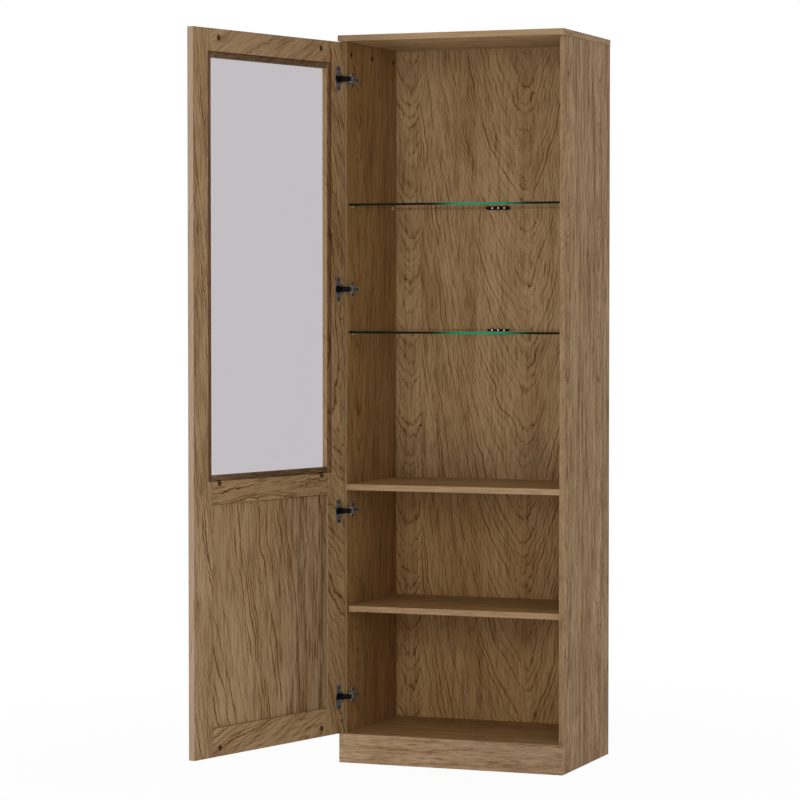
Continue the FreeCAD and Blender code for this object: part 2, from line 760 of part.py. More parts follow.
def hinge_arm():
    """A channel that tapers to its tail, with a cranked nose whose two cheeks hold the slot."""
    body = new_body("HingeArm")
    lift = "Sizes.arm_lift"
    web = "Sizes.arm_web"
    tail = "Sizes.arm_reach_back"
    cheek = "Sizes.arm_cheek_back"
    floor = f"({lift} - Sizes.arm_cheek_depth)"
    crank_x = f"({lift} + Sizes.arm_crank_out)"
    crank_back = "Sizes.arm_crank_back"
    crank_front = "-Sizes.arm_crank_front"
    pin_x = side_x(ARM_PIN_X)
    pin_y = side_y(ARM_PIN_Y)
    play = "(Sizes.arm_pin_radius + Sizes.arm_slot_play)"
    nose = f"({play} + Sizes.arm_nose_wall)"
    travel = f"(Sizes.cup_pin_orbit + {LINK_LENGTH} - Sizes.arm_pin_orbit)"
    end_x = f"({pin_x} + {travel})"
    slot_y = f"({pin_y} + {travel} * sin(Sizes.link_line_angle) / 2)"
    past_tail = f"{tail} + {OVERRUN}"
    past_side = f"(Sizes.arm_half + {OVERRUN})"
    past_nose = f"{pin_y} - 2 * {nose}"
    past_crank = f"{crank_x} + {CHANNEL_OVERRUN}"
    profile = sketch_on(body, "XY_Plane")
    outline(profile, [
        (lift, tail), (f"{lift} - {web}", tail), (f"{lift} - {web}", cheek),
        (floor, f"{cheek} - Sizes.arm_cheek_depth"), (floor, "0"),
        (f"{pin_x} - {nose}", slot_y), (f"{end_x} + {nose}", slot_y),
        (crank_x, crank_front), (lift, crank_back),
    ])
    pad(body, profile, "2 * Sizes.arm_half", midplane=True)
    nose_bar = sketch_on(body, "XY_Plane")
    stadium(nose_bar, pin_x, end_x, slot_y, nose)
    pad(body, nose_bar, "2 * Sizes.arm_half", midplane=True)
    channel = sketch_on(body, "XY_Plane")
    outline(channel, [
        (f"{lift} - {web}", past_tail), ("0", past_tail), ("0", past_nose),
        (past_crank, past_nose), (past_crank, crank_front),
        (f"{crank_x} - {web}", crank_front), (f"{lift} - {web}", crank_back),
    ])
    pocket(body, channel, "2 * (Sizes.arm_half - Sizes.arm_wall)", midplane=True)
    slot = sketch_on(body, "XY_Plane")
    stadium(slot, pin_x, end_x, slot_y, play)
    pocket(body, slot, "4 * Sizes.arm_half", midplane=True)
    for sign in ("", "-"):
        taper = sketch_on(body, "YZ_Plane")
        outline(taper, [
            (cheek, f"{sign}Sizes.arm_half"), (past_tail, f"{sign}Sizes.arm_tail_half"),
            (past_tail, f"{sign}{past_side}"), (cheek, f"{sign}{past_side}"),
        ])
        pocket(body, taper, f"{lift} + {OVERRUN}", reverse=True)
    holes = sketch_on(body, "YZ_Plane", lift)
    for inset in ("arm_screw_front", "arm_screw_rear"):
        circle(holes, f"Sizes.{inset}", "0", "Sizes.arm_screw_radius + Sizes.arm_hole_gap")
    pocket(body, holes, web)
    return body


def hinge_cup():
    """A pressed cup with a screw flange, open at the hinge side for the link."""
    body = new_body("HingeCup")
    outer = "Sizes.cup_radius"
    inner = "(Sizes.cup_radius - Sizes.cup_wall)"
    screw_x = "Sizes.cup_screw_offset"
    half = "Sizes.flange_length / 2"
    ear_low = f"({screw_x} - Sizes.flange_width / 2)"
    ear_high = f"({screw_x} + Sizes.flange_width / 2)"
    shoulder = "(Sizes.link_half + Sizes.flange_shoulder)"
    drum = sketch_on(body, "XZ_Plane")
    circle(drum, "0", "0", outer)
    pad(body, drum, "Sizes.cup_depth")
    flange = sketch_on(body, "XZ_Plane")
    outline(flange, [
        (ear_low, f"-{half}"), (ear_high, f"-{half}"), (ear_high, half), (ear_low, half),
        (ear_low, outer), (f"-{outer}", shoulder), (f"-{outer}", f"-{shoulder}"),
        (ear_low, f"-{outer}"),
    ])
    pad(body, flange, "Sizes.flange_thickness", reverse=True)
    round_corners(body, Y_AXIS, "Sizes.corner_radius")
    cavity = sketch_on(body, "XZ_Plane", "-Sizes.flange_thickness")
    circle(cavity, "0", "0", inner)
    pocket(body, cavity, "Sizes.cup_depth - Sizes.cup_floor + Sizes.flange_thickness", reverse=True)
    pin_x = f"({CUP_PIN_SHUT_X} - {CUP_X})"
    pin_y = f"({CUP_PIN_SHUT_Y} - {DOOR_IN})"
    notch = sketch_on(body, "XY_Plane")
    rectangle(
        notch, f"-{outer} - {OVERRUN}", f"{pin_x} + 2 * Sizes.link_barrel_radius",
        f"{pin_y} - Sizes.link_barrel_radius - Sizes.link_notch_gap",
        f"Sizes.flange_thickness + {OVERRUN}",
    )
    pocket(body, notch, "2 * (Sizes.link_neck_half + Sizes.link_notch_gap)", midplane=True)
    bore = sketch_on(body, "XY_Plane")
    circle(bore, pin_x, pin_y, "Sizes.cup_pin_radius + Sizes.seat_clearance")
    pocket(body, bore, "2 * Sizes.cup_pin_half", midplane=True)
    holes = sketch_on(body, "XZ_Plane", "-Sizes.flange_thickness")
    for sign in ("", "-"):
        circle(holes, screw_x, f"{sign}Sizes.cup_screw_pitch / 2",
               "Sizes.wood_screw_radius + Sizes.screw_hole_gap")
    pocket(body, holes, "Sizes.flange_thickness", reverse=True)
    return body


def hinge_link():
    """A flat link: a narrow neck rolled round the cup's pin and a wide end round the arm's."""
    body = new_body("HingeLink")
    half_sheet = "Sizes.link_thickness / 2"
    eye = "(Sizes.arm_pin_radius + Sizes.arm_nose_wall)"
    neck = sketch_on(body, "XY_Plane")
    rectangle(neck, "0", LINK_LENGTH, f"-{half_sheet}", half_sheet)
    pad(body, neck, "2 * Sizes.link_neck_half", midplane=True)
    wide = sketch_on(body, "XY_Plane")
    rectangle(wide, "Sizes.link_neck_length", LINK_LENGTH, f"-{half_sheet}", half_sheet)
    pad(body, wide, "2 * Sizes.link_half", midplane=True)
    barrel = sketch_on(body, "XY_Plane")
    circle(barrel, "0", "0", "Sizes.link_barrel_radius")
    pad(body, barrel, "2 * Sizes.link_neck_half", midplane=True)
    end = sketch_on(body, "XY_Plane")
    circle(end, LINK_LENGTH, "0", eye)
    pad(body, end, "2 * Sizes.link_half", midplane=True)
    bores = sketch_on(body, "XY_Plane")
    circle(bores, "0", "0", "Sizes.cup_pin_radius + Sizes.running_clearance")
    circle(bores, LINK_LENGTH, "0", "Sizes.arm_pin_radius + Sizes.seat_clearance")
    pocket(body, bores, "4 * Sizes.link_half", midplane=True)
    return body


def pin_master(name, radius, half):
    """A plain pin along local Z."""
    body = new_body(name)
    sketch = sketch_on(body, "XY_Plane")
    circle(sketch, "0", "0", radius)
    pad(body, sketch, f"2 * {half}", midplane=True)
    return body


# Light clips


def clip_master():
    """A clip on a glass shelf's back edge, drawn from the shelf's underside at its back face."""
    body = new_body("LightClip")
    low = "-Sizes.clip_below"
    high = "(Sizes.glass_shelf_thickness + Sizes.clip_above)"
    front = sketch_on(body, "XZ_Plane", "Sizes.clip_lip")
    outline(front, [
        ("Sizes.clip_start", low), ("Sizes.clip_end", low), ("Sizes.clip_end", high),
        ("Sizes.clip_start", high), ("Sizes.clip_start - Sizes.clip_point", f"{low} / 2"),
    ])
    pad(body, front, "Sizes.clip_lip + Sizes.clip_body", reverse=True)
    jaw = sketch_on(body, "YZ_Plane", "Sizes.clip_start - Sizes.clip_point")
    rectangle(jaw, "-Sizes.clip_lip", "Sizes.clip_grip", "-Sizes.clip_grip",
              "Sizes.glass_shelf_thickness + Sizes.clip_grip")
    pocket(body, jaw, "Sizes.clip_end - Sizes.clip_start + Sizes.clip_point", reverse=True)
    return body


LENS_LOW = "(-Sizes.clip_below + Sizes.lens_margin)"
LENS_HIGH = "(Sizes.glass_shelf_thickness + Sizes.clip_above - Sizes.lens_margin)"


def lens_slot_master():
    """The slot across the clip's front that a light window sits in."""
    body = new_body("LensSlot")
    slab = sketch_on(body, "YZ_Plane", "-Sizes.lens_width / 2")
    rectangle(slab, f"-Sizes.clip_lip - {OVERRUN}", "Sizes.lens_depth", LENS_LOW, LENS_HIGH)
    pad(body, slab, "Sizes.lens_width")
    return body


def lens_master():
    """A light window across the clip's lips, split by the glass."""
    body = new_body("Lens")
    slab = sketch_on(body, "YZ_Plane", "-Sizes.lens_width / 2")
    back = "Sizes.lens_depth"
    grip = "Sizes.clip_grip"
    lip = "-Sizes.clip_lip"
    outline(slab, [
        (lip, LENS_LOW), (back, LENS_LOW), (back, LENS_HIGH), (lip, LENS_HIGH),
        (lip, f"Sizes.glass_shelf_thickness + {grip}"), (grip, f"Sizes.glass_shelf_thickness + {grip}"),
        (grip, f"-{grip}"), (lip, f"-{grip}"),
    ])
    pad(body, slab, "Sizes.lens_width")
    return body


# Fasteners and their bores

carcass_cams = carcass_cam_places()
carcass_dowels = carcass_dowel_places()
door_cams = door_cam_places()
door_dowels = door_dowel_places()

dowel = dowel_master()
dowel_bore = bore_master(
    "DowelBore", "-Sizes.bore_overrun", "Sizes.dowel_length + Sizes.bore_overrun",
    "Sizes.dowel_radius + Sizes.seat_clearance",
)
cam = cam_master()
cam_bore = cam_bore_master()

carcass_cam_bores = copies("CarcassCamBores", cam_bore, carcass_cams)
carcass_bolt_bores = bolt_bores("Carcass", "Sizes.case_cam_setback", carcass_cams)
carcass_dowel_bores = copies("CarcassDowelBores", dowel_bore, carcass_dowels)
door_cam_bores = copies("DoorCamBores", cam_bore, door_cams)
door_bolt_bores = bolt_bores("Door", "Sizes.door_cam_setback", door_cams)
door_dowel_bores = copies("DoorDowelBores", dowel_bore, door_dowels)

pin_bore = bore_master(
    "ShelfPinBore", "-Sizes.bore_overrun", f"Sizes.shelf_pin_depth + {OVERRUN}",
    "Sizes.shelf_pin_radius + Sizes.seat_clearance",
)
glass_lows = [
    "(Sizes.upper_glass_top - Sizes.glass_shelf_thickness)",
    "(Sizes.lower_glass_top - Sizes.glass_shelf_thickness)",
]
adjustable_low = "(Sizes.adjustable_shelf_top - Sizes.board)"
glass_pins = [spot for low in glass_lows for spot in shelf_pin_places(low)]
adjustable_pins = shelf_pin_places(adjustable_low)
shelf_pin_bores = copies("ShelfPinBores", pin_bore, glass_pins + adjustable_pins)

screw_bore = bore_master(
    "ScrewBore", "-Sizes.wood_screw_length - Sizes.bore_overrun", OVERRUN,
    "Sizes.wood_screw_radius + Sizes.seat_clearance",
)
plate_screw_bores = copies("PlateScrewBores", screw_bore, plate_screw_places())
cup_screw_bores = copies("CupScrewBores", screw_bore, cup_screw_places())
cup_bore = bore_master("CupBore", "-Sizes.cup_depth", OVERRUN, "Sizes.cup_radius")
cup_bores = copies(
    "CupBores", cup_bore,
    [place(CUP_X, DOOR_IN, z, facing("+y", "+z")) for z in HINGE_HEIGHTS],
)

# Carcass

slack = "Sizes.groove_slack"
back_groove = block(
    "BackGroove",
    (f"-({SIDE_IN} + Sizes.groove_depth)", f"{SIDE_IN} + Sizes.groove_depth"),
    (f"{BACK_FACE} - {slack}", f"{BACK_FACE} + Sizes.back_thickness + {slack}"),
    (f"{BOTTOM_LOW} - {slack}", f"{SIDE_TOP} + Sizes.groove_depth"),
)

sides_span = (f"-{SIDE_OUT}", SIDE_OUT)
between_sides = (f"-{SIDE_IN}", SIDE_IN)
behind_plinth = (SIDE_FRONT, SIDE_BACK)

top_board = block(
    "TopBoard", (f"-{SIDE_OUT} - Sizes.top_overhang", f"{SIDE_OUT} + Sizes.top_overhang"),
    (DOOR_OUT, SIDE_BACK), (SIDE_TOP, "Sizes.overall_height"),
)
node("top_panel", cut(top_board, back_groove, carcass_bolt_bores[1], carcass_dowel_bores))

for name, span in (("left_side_panel", (f"-{SIDE_OUT}", f"-{SIDE_IN}")),
                   ("right_side_panel", (SIDE_IN, SIDE_OUT))):
    side_board = block(f"{name}_board", span, behind_plinth, ("0", SIDE_TOP))
    node(name, cut(
        side_board, back_groove, carcass_cam_bores, *carcass_bolt_bores, carcass_dowel_bores,
        shelf_pin_bores, plate_screw_bores,
    ))

plinth = block("PlinthBoard", sides_span, ("-Sizes.board / 2", SIDE_FRONT), ("0", "Sizes.plinth_height"))
node("plinth_board", cut(plinth, carcass_dowel_bores))

for name, low in (("bottom_panel", BOTTOM_LOW), ("fixed_shelf", FIXED_LOW)):
    shelf = block(f"{name}_board", between_sides, (SIDE_FRONT, BACK_FACE), (low, f"{low} + Sizes.board"))
    node(name, cut(shelf, carcass_cam_bores, carcass_bolt_bores[0], carcass_dowel_bores))

back_reach = f"({SIDE_IN} + Sizes.groove_depth - Sizes.back_edge_gap)"
node("back_panel", block(
    "BackBoard", (f"-{back_reach}", back_reach), (BACK_FACE, f"{BACK_FACE} + Sizes.back_thickness"),
    (BOTTOM_LOW, f"{SIDE_TOP} + Sizes.groove_depth - Sizes.back_edge_gap"),
))

shelf_span = ((f"-{SHELF_OUT}", SHELF_OUT), (SHELF_FRONT, SHELF_BACK))
node("adjustable_shelf", block(
    "AdjustableBoard", *shelf_span, (adjustable_low, "Sizes.adjustable_shelf_top"),
))
for name, low in zip(("glass_shelf_upper", "glass_shelf_lower"), glass_lows):
    node(name, block(f"{name}_pane", *shelf_span, (low, f"{low} + Sizes.glass_shelf_thickness")))

shelf_pin = shelf_pin_master()
node("glass_shelf_pins", copies("GlassShelfPins", shelf_pin, glass_pins))
node("adjustable_shelf_pins", copies("AdjustableShelfPins", shelf_pin, adjustable_pins))

node("carcass_cam_locks", copies("CarcassCams", cam, carcass_cams))
carcass_bolt = bolt_master("CarcassBolt", "Sizes.case_cam_setback")
node("carcass_cam_bolts", copies("CarcassBolts", carcass_bolt, carcass_cams))
node("carcass_dowels", copies("CarcassDowels", dowel, carcass_dowels))

# Light clips on the back edges of the glass shelves

clip_spots = [place("0", SHELF_BACK, low) for low in glass_lows]
lens_xs = [f"Sizes.lens_first + {index} * Sizes.lens_pitch" for index in range(3)]
lens_spots = [place(x, SHELF_BACK, low) for low in glass_lows for x in lens_xs]
clip = clip_master()
lens_slots = copies("LensSlots", lens_slot_master(), lens_spots)
for name, spot in zip(("light_clip_upper", "light_clip_lower"), clip_spots):
    node(name, cut(copies(f"{name}_bar", clip, [spot]), lens_slots))
node("light_clip_lenses", copies("LightLenses", lens_master(), lens_spots))

# Hinge parts on the carcass

side_spots = [place(f"-{SIDE_IN}", SIDE_FRONT, z) for z in HINGE_HEIGHTS]
node("hinge_mounting_plates", copies("MountingPlates", mounting_plate(), side_spots))
node("hinge_arms", copies("HingeArms", hinge_arm(), side_spots))

wood_screw = screw_master(
    "WoodScrew", "Sizes.wood_screw_radius", "Sizes.wood_screw_length", "Sizes.wood_screw_tip",
    "Sizes.wood_head_radius", "Sizes.wood_head_height",
)
arm_screw = screw_master(
    "ArmScrew", "Sizes.arm_screw_radius", "Sizes.arm_screw_length", "Sizes.bore_overrun",
    "Sizes.arm_head_radius", "Sizes.arm_head_height",
)
node("hinge_plate_screws", copies("PlateScrews", wood_screw, plate_screw_places()))
node("hinge_arm_screws", copies("ArmScrews", arm_screw, arm_screw_places()))

# Door

glass_slack = "Sizes.rabbet_slack"
rabbet_edge = f"({SIGHT_HALF} + Sizes.rabbet_width)"
rabbet_low = f"({MID_RAIL_TOP} - Sizes.rabbet_width)"
rabbet_high = f"({TOP_RAIL_LOW} + Sizes.rabbet_width)"
glass_out = f"({DOOR_IN} - Sizes.door_glass_thickness)"
glass_rabbet = block(
    "GlassRabbet", (f"-{rabbet_edge}", rabbet_edge), (glass_out, f"{DOOR_IN} + {OVERRUN}"),
    (rabbet_low, rabbet_high),
)
panel_edge = f"({SIGHT_HALF} + Sizes.panel_lip)"
panel_low = f"({BOTTOM_RAIL_TOP} - Sizes.panel_lip)"
panel_high = "(Sizes.mid_rail_bottom + Sizes.panel_lip)"
panel_groove = block(
    "PanelGroove", (f"-{panel_edge}", panel_edge), (f"{PANEL_OUT} - {slack}", f"{PANEL_IN} + {slack}"),
    (panel_low, panel_high),
)
door_depth = (DOOR_OUT, DOOR_IN)
door_bores = (door_cam_bores, *door_bolt_bores, door_dowel_bores)
hinge_bores = (cup_bores, cup_screw_bores)
stiles = (
    ("door_hinge_stile", (f"-{DOOR_HALF}", f"-{SIGHT_HALF}"), hinge_bores),
    ("door_free_stile", (SIGHT_HALF, DOOR_HALF), ()),
)
for name, span, bores in stiles:
    stile = block(f"{name}_board", span, door_depth, (DOOR_LOW, DOOR_HIGH))
    door_node(name, cut(stile, glass_rabbet, panel_groove, *door_bores, *bores))
rails = (
    ("door_top_rail", (TOP_RAIL_LOW, DOOR_HIGH)),
    ("door_middle_rail", ("Sizes.mid_rail_bottom", MID_RAIL_TOP)),
    ("door_bottom_rail", (DOOR_LOW, BOTTOM_RAIL_TOP)),
)
for name, span in rails:
    rail = block(f"{name}_board", (f"-{SIGHT_HALF}", SIGHT_HALF), door_depth, span)
    door_node(name, cut(rail, glass_rabbet, panel_groove, *door_bores))

door_node("door_glass", block(
    "DoorPane", (f"-({rabbet_edge} - {glass_slack})", f"{rabbet_edge} - {glass_slack}"),
    (glass_out, DOOR_IN), (rabbet_low, f"{rabbet_high} - {glass_slack}"),
))
door_node("door_lower_panel", block(
    "DoorPanel", (f"-({panel_edge} - {glass_slack})", f"{panel_edge} - {glass_slack}"),
    (PANEL_OUT, PANEL_IN), (panel_low, f"{panel_high} - {glass_slack}"),
))
door_node("door_cam_locks", copies("DoorCams", cam, door_cams))
door_bolt = bolt_master("DoorBolt", "Sizes.door_cam_setback")
door_node("door_cam_bolts", copies("DoorBolts", door_bolt, door_cams))
door_node("door_dowels", copies("DoorDowels", dowel, door_dowels))

# Hinge parts on the door, and the links

cup_spots = [place(CUP_X, DOOR_IN, z) for z in HINGE_HEIGHTS]
door_node("hinge_cups", copies("HingeCups", hinge_cup(), cup_spots))
door_node("hinge_cup_screws", copies("CupScrews", wood_screw, cup_screw_places()))
cup_pin = pin_master("CupPin", "Sizes.cup_pin_radius", "Sizes.cup_pin_half")
cup_pin_spots = [place(CUP_PIN_SHUT_X, CUP_PIN_SHUT_Y, z) for z in HINGE_HEIGHTS]
door_node("hinge_cup_pins", copies("CupPins", cup_pin, cup_pin_spots))


def link_spots():
    """The links at rest, with the door open."""
    spots = []
    for z in HINGE_HEIGHTS:
        spots.append(place(CUP_PIN_OPEN_X, CUP_PIN_OPEN_Y, z, FreeCAD.Rotation(Z_AXIS, 1)))
    return spots


links = node("hinge_links", copies("HingeLinks", hinge_link(), link_spots()))
for link in links.Links:
    bind(link, {"Placement.Rotation.Angle": f"Sizes.link_line_angle * 1 deg + {LINK_TILT}"})
arm_pin = pin_master(
    "ArmPin", "Sizes.arm_pin_radius", "(Sizes.arm_half - Sizes.arm_pin_recess)",
)
arm_pin_spots = [place(ARM_PIN_X, ARM_PIN_Y, z) for z in HINGE_HEIGHTS]
node("hinge_arm_pins", copies("ArmPins", arm_pin, arm_pin_spots))

# Checks and export

doc.recompute()
for item in doc.Objects:
    if "Invalid" in item.State or "Error" in item.State:
        raise RuntimeError(f"{item.Label} failed: {item.State}")
    if item.TypeId == "PartDesign::Body" and len(item.Shape.Solids) != 1:
        raise RuntimeError(f"{item.Label} is not one solid")
os.makedirs("parts", exist_ok=True)
for item in nodes:
    if item.Shape.isNull() or not item.Shape.isValid() or not item.Shape.Solids:
        raise RuntimeError(f"{item.Label} is not a valid solid")
    item.Shape.exportStep(os.path.join("parts", f"{item.Label}.step"))
    print(item.Label, len(item.Shape.Solids), round(item.Shape.Volume, 1))
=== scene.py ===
"""Looks for the bookcase with one glass-and-panel door: materials, light, floor and camera.

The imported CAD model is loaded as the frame. Units are metres. The case stands on the floor at
z = 0, +X is to the right of somebody facing the door, and +Y runs from the door to the wall.
At rest the door stands open, turned 105 degrees about the upright axis HINGE_AXIS.
"""

import math

import bpy
import bmesh
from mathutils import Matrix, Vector


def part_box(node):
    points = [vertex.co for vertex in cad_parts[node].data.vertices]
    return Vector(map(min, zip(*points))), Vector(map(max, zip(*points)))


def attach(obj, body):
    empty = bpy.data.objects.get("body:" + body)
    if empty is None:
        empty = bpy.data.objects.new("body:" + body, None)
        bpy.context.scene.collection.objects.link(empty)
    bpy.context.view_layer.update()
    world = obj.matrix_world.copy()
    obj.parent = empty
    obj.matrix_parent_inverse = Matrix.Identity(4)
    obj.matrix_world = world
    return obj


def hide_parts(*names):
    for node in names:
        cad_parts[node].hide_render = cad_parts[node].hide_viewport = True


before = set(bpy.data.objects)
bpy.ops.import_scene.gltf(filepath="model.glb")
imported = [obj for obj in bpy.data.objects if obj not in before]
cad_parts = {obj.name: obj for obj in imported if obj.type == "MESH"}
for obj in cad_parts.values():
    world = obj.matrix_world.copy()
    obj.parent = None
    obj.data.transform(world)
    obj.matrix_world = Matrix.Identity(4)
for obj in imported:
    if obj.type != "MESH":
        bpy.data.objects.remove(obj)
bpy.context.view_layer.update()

# --- Places shared with the CAD source ---------------------------------------------------------

HINGE_AXIS = (-0.319, -0.004)
DOOR_OPEN = math.radians(105.0)
# The pane in the closed door: half its width, its height, and its two faces in depth.
PANE_HALF = 0.2627
PANE_LEVELS = (0.804, 1.9217)
PANE_FACES = (0.001, 0.005)

# --- Camera, set to the photograph's viewpoint --------------------------------------------------

CAMERA_PLACE = (2.8672, -7.8045, 1.2978)
CAMERA_TURN = math.radians(21.119)
CAMERA_PITCH = math.radians(2.018)
CAMERA_LENS = 137.892
CAMERA_SENSOR = 36.0
CAMERA_FAR = 200.0
# A camera that is turned by this about X looks level.
LEVEL = math.radians(90.0)


def make_camera():
    data = bpy.data.cameras.new("camera")
    data.sensor_width = CAMERA_SENSOR
    data.lens = CAMERA_LENS
    data.clip_end = CAMERA_FAR
    camera = bpy.data.objects.new("camera", data)
    camera.location = CAMERA_PLACE
    camera.rotation_euler = (LEVEL - CAMERA_PITCH, 0.0, CAMERA_TURN)
    bpy.context.scene.collection.objects.link(camera)
    bpy.context.scene.camera = camera


# --- Helpers for node materials -----------------------------------------------------------------


def srgb(red, green, blue):
    """A colour given as 0 to 255 display values, as the linear colour that nodes take."""
    def linear(value):
        # The numbers are those of the sRGB standard's own curve.
        share = value / 255.0
        return share / 12.92 if share <= 0.04045 else ((share + 0.055) / 1.055) ** 2.4
    return (linear(red), linear(green), linear(blue), 1.0)


WHITE = (1.0, 1.0, 1.0, 1.0)
# A face looks along an axis when its normal's part along that axis is above this.
FACE_LIMIT = 0.6


class Graph:
    """Adds nodes to one node tree. The operations hand back output sockets."""

    def __init__(self, tree):
        self.tree = tree

    def put(self, socket, value):
        """Links an input to another node's output, or sets a plain value on it."""
        if isinstance(value, bpy.types.NodeSocket):
            self.tree.links.new(value, socket)
        else:
            socket.default_value = value

    def fill(self, node, inputs):
        """Puts a value on each named or numbered input, and leaves out those given as None."""
        for key, value in inputs.items():
            if value is not None:
                self.put(node.inputs[key], value)

    def add(self, kind, inputs=(), **settings):
        node = self.tree.nodes.new(kind)
        for key, value in settings.items():
            setattr(node, key, value)
        self.fill(node, dict(inputs))
        return node

    def math(self, operation, a, b=None, c=None, clamp=False):
        inputs = {0: a, 1: b, 2: c}
        return self.add("ShaderNodeMath", inputs, operation=operation, use_clamp=clamp).outputs[0]

    def plus(self, a, b, clamp=False):
        return self.math("ADD", a, b, clamp=clamp)

    def minus(self, a, b):
        return self.math("SUBTRACT", a, b)

    def times(self, a, b, clamp=False):
        return self.math("MULTIPLY", a, b, clamp=clamp)

    def over(self, a, b):
        return self.math("DIVIDE", a, b)

    def times_plus(self, a, b, c, clamp=False):
        """a times b, plus c."""
        return self.math("MULTIPLY_ADD", a, b, c, clamp=clamp)

    def size(self, a):
        return self.math("ABSOLUTE", a)

    def larger(self, a, b):
        return self.math("MAXIMUM", a, b)

    def smaller(self, a, b):
        return self.math("MINIMUM", a, b)

    def above(self, a, limit):
        """1 where a is above the limit, else 0."""
        return self.math("GREATER_THAN", a, limit)

    def below(self, a, limit):
        """1 where a is below the limit, else 0."""
        return self.math("LESS_THAN", a, limit)

    def short_of_one(self, a):
        """What is missing from a to 1, and 0 where a is more than that."""
        return self.math("SUBTRACT", 1.0, a, clamp=True)

    def vector(self, operation, a, b=None, c=None):
        inputs = {0: a, 1: b, 2: c}
        return self.add("ShaderNodeVectorMath", inputs, operation=operation).outputs[0]

    def tint(self, colour, factor):
        """A colour times a factor for each of its three channels."""
        return self.vector("MULTIPLY", colour, factor)

    def split(self, vector):
        return self.add("ShaderNodeSeparateXYZ", {0: vector}).outputs

    def join(self, x, y, z):
        return self.add("ShaderNodeCombineXYZ", {0: x, 1: y, 2: z}).outputs[0]

    def place(self):
        """The point of the part frame that is being shaded."""
        return self.add("ShaderNodeTexCoord").outputs["Object"]

    def noise(self, vector, scales, detail=2.0, roughness=0.5, offset=(0.0, 0.0, 0.0)):
        """Smooth noise from 0 to 1 whose scale may differ along the three axes."""
        placed = self.vector("MULTIPLY_ADD", vector, scales, offset)
        inputs = {"Vector": placed, "Scale": 1.0, "Detail": detail, "Roughness": roughness}
        return self.add("ShaderNodeTexNoise", inputs).outputs[0]

    def chance(self, number):
        """A value from 0 to 1 that is always the same for the same number."""
        return self.add("ShaderNodeTexWhiteNoise", {"W": number}, noise_dimensions="1D").outputs[0]

    def remap(self, value, low, high, to_low=0.0, to_high=1.0, smooth=True):
        """Runs from to_low to to_high as the value runs from low to high."""
        kind = "SMOOTHSTEP" if smooth else "LINEAR"
        inputs = {0: value, 1: low, 2: high, 3: to_low, 4: to_high}
        return self.add("ShaderNodeMapRange", inputs, interpolation_type=kind).outputs[0]

    def nearest(self, value, places):
        """How far a value is from the nearest of some places."""
        apart = self.size(self.plus(value, -places[0]))
        for place in places[1:]:
            apart = self.smaller(apart, self.size(self.plus(value, -place)))
        return apart

    def mix(self, share, a, b):
        """Colour a where share is 0, colour b where it is 1."""
        node = self.add("ShaderNodeMix", data_type="RGBA", blend_type="MIX")
        for key, value in {"Factor_Float": share, "A_Color": a, "B_Color": b}.items():
            self.put(next(s for s in node.inputs if s.identifier == key), value)
        return next(s for s in node.outputs if s.identifier == "Result_Color")

    def mix_values(self, share, a, b):
        """Value a where share is 0, value b where it is 1."""
        return self.add("ShaderNodeMix", {0: share, 2: a, 3: b}, data_type="FLOAT").outputs[0]

    def bump(self, height, strength, distance):
        inputs = {"Height": height, "Strength": strength, "Distance": distance}
        return self.add("ShaderNodeBump", inputs).outputs[0]


def new_material(name):
    """An empty node material: returns it, its graph and its one shader node."""
    material = bpy.data.materials.new(name)
    material.use_nodes = True
    tree = material.node_tree
    tree.nodes.clear()
    graph = Graph(tree)
    shader = graph.add("ShaderNodeBsdfPrincipled")
    output = graph.add("ShaderNodeOutputMaterial")
    tree.links.new(shader.outputs[0], output.inputs[0])
    return material, graph, shader


def closed_vector(graph, vector, kind):
    """A point or a direction on the open door, as it is when the door is closed."""
    px, py = HINGE_AXIS
    cosine, sine = math.cos(DOOR_OPEN), math.sin(DOOR_OPEN)
    inputs = {"Vector": vector, "Rotation": (0.0, 0.0, DOOR_OPEN)}
    if kind == "POINT":
        inputs["Location"] = (px - cosine * px + sine * py, py - sine * px - cosine * py, 0.0)
    return graph.add("ShaderNodeMapping", inputs, vector_type=kind).outputs[0]


def looks_along(g, facing, axis, sign=None):
    """1 on the faces that look along an axis: both ways, or only the way of the sign."""
    part = g.size(facing[axis]) if sign is None else g.times(facing[axis], sign)
    return g.above(part, FACE_LIMIT)


# --- Wood: colours and tones ----------------------------------------------------------------------

WOOD_LIGHT = srgb(176, 146, 107)
WOOD_MID = srgb(161, 130, 91)
WOOD_DARK = srgb(98, 58, 14)
WOOD_GREY = srgb(134, 110, 82)
# Painted shade inside the cams' bores.
BORE_SHADE = srgb(66, 44, 24)
RAW_DARK = srgb(138, 106, 72)
RAW_LIGHT = srgb(154, 122, 86)
RAW_FLECK = srgb(104, 76, 48)

BAND_TONE = srgb(160, 132, 101)
# Painted shade: a darker copy of the band for the right side's front edge.
SHADED_FRONT_BAND_TONE = srgb(143, 118, 91)
# Painted shade: a dimmer copy of the band for the left side's front edge, in the open door's shade.
DIM_BAND_TONE = srgb(158, 130, 95)
# Painted light: a lighter copy of the band for the free stile's edges, which face the light.
LIT_BAND_TONE = srgb(186, 161, 138)
# Painted light: a lighter copy of the band for the hinge stile's lit edges.
LIT_LIP_TONE = srgb(166, 138, 101)
BAND_SHARE = 0.55

# Factors for red, green and blue that paint light and shade: shade, darker and warmer, on the faces
# that look into the case; light under the top board; light or shade on the wood behind the pane;
# a redder shade on the rebate's wall within WALL_REACH of the pane's edge; and light on the back
# board below FOOT_LEVEL. The rails keep their tone behind the pane.
# Painted shade, darker and warmer, on the faces inside the case.
INNER_SHADE = (0.96, 0.89, 0.73)
LEFT_INNER_SHADE = (0.89, 0.79, 0.60)
# Painted shade on the hinge stile's shaded side faces.
STILE_INNER_SHADE = (0.72, 0.70, 0.58)
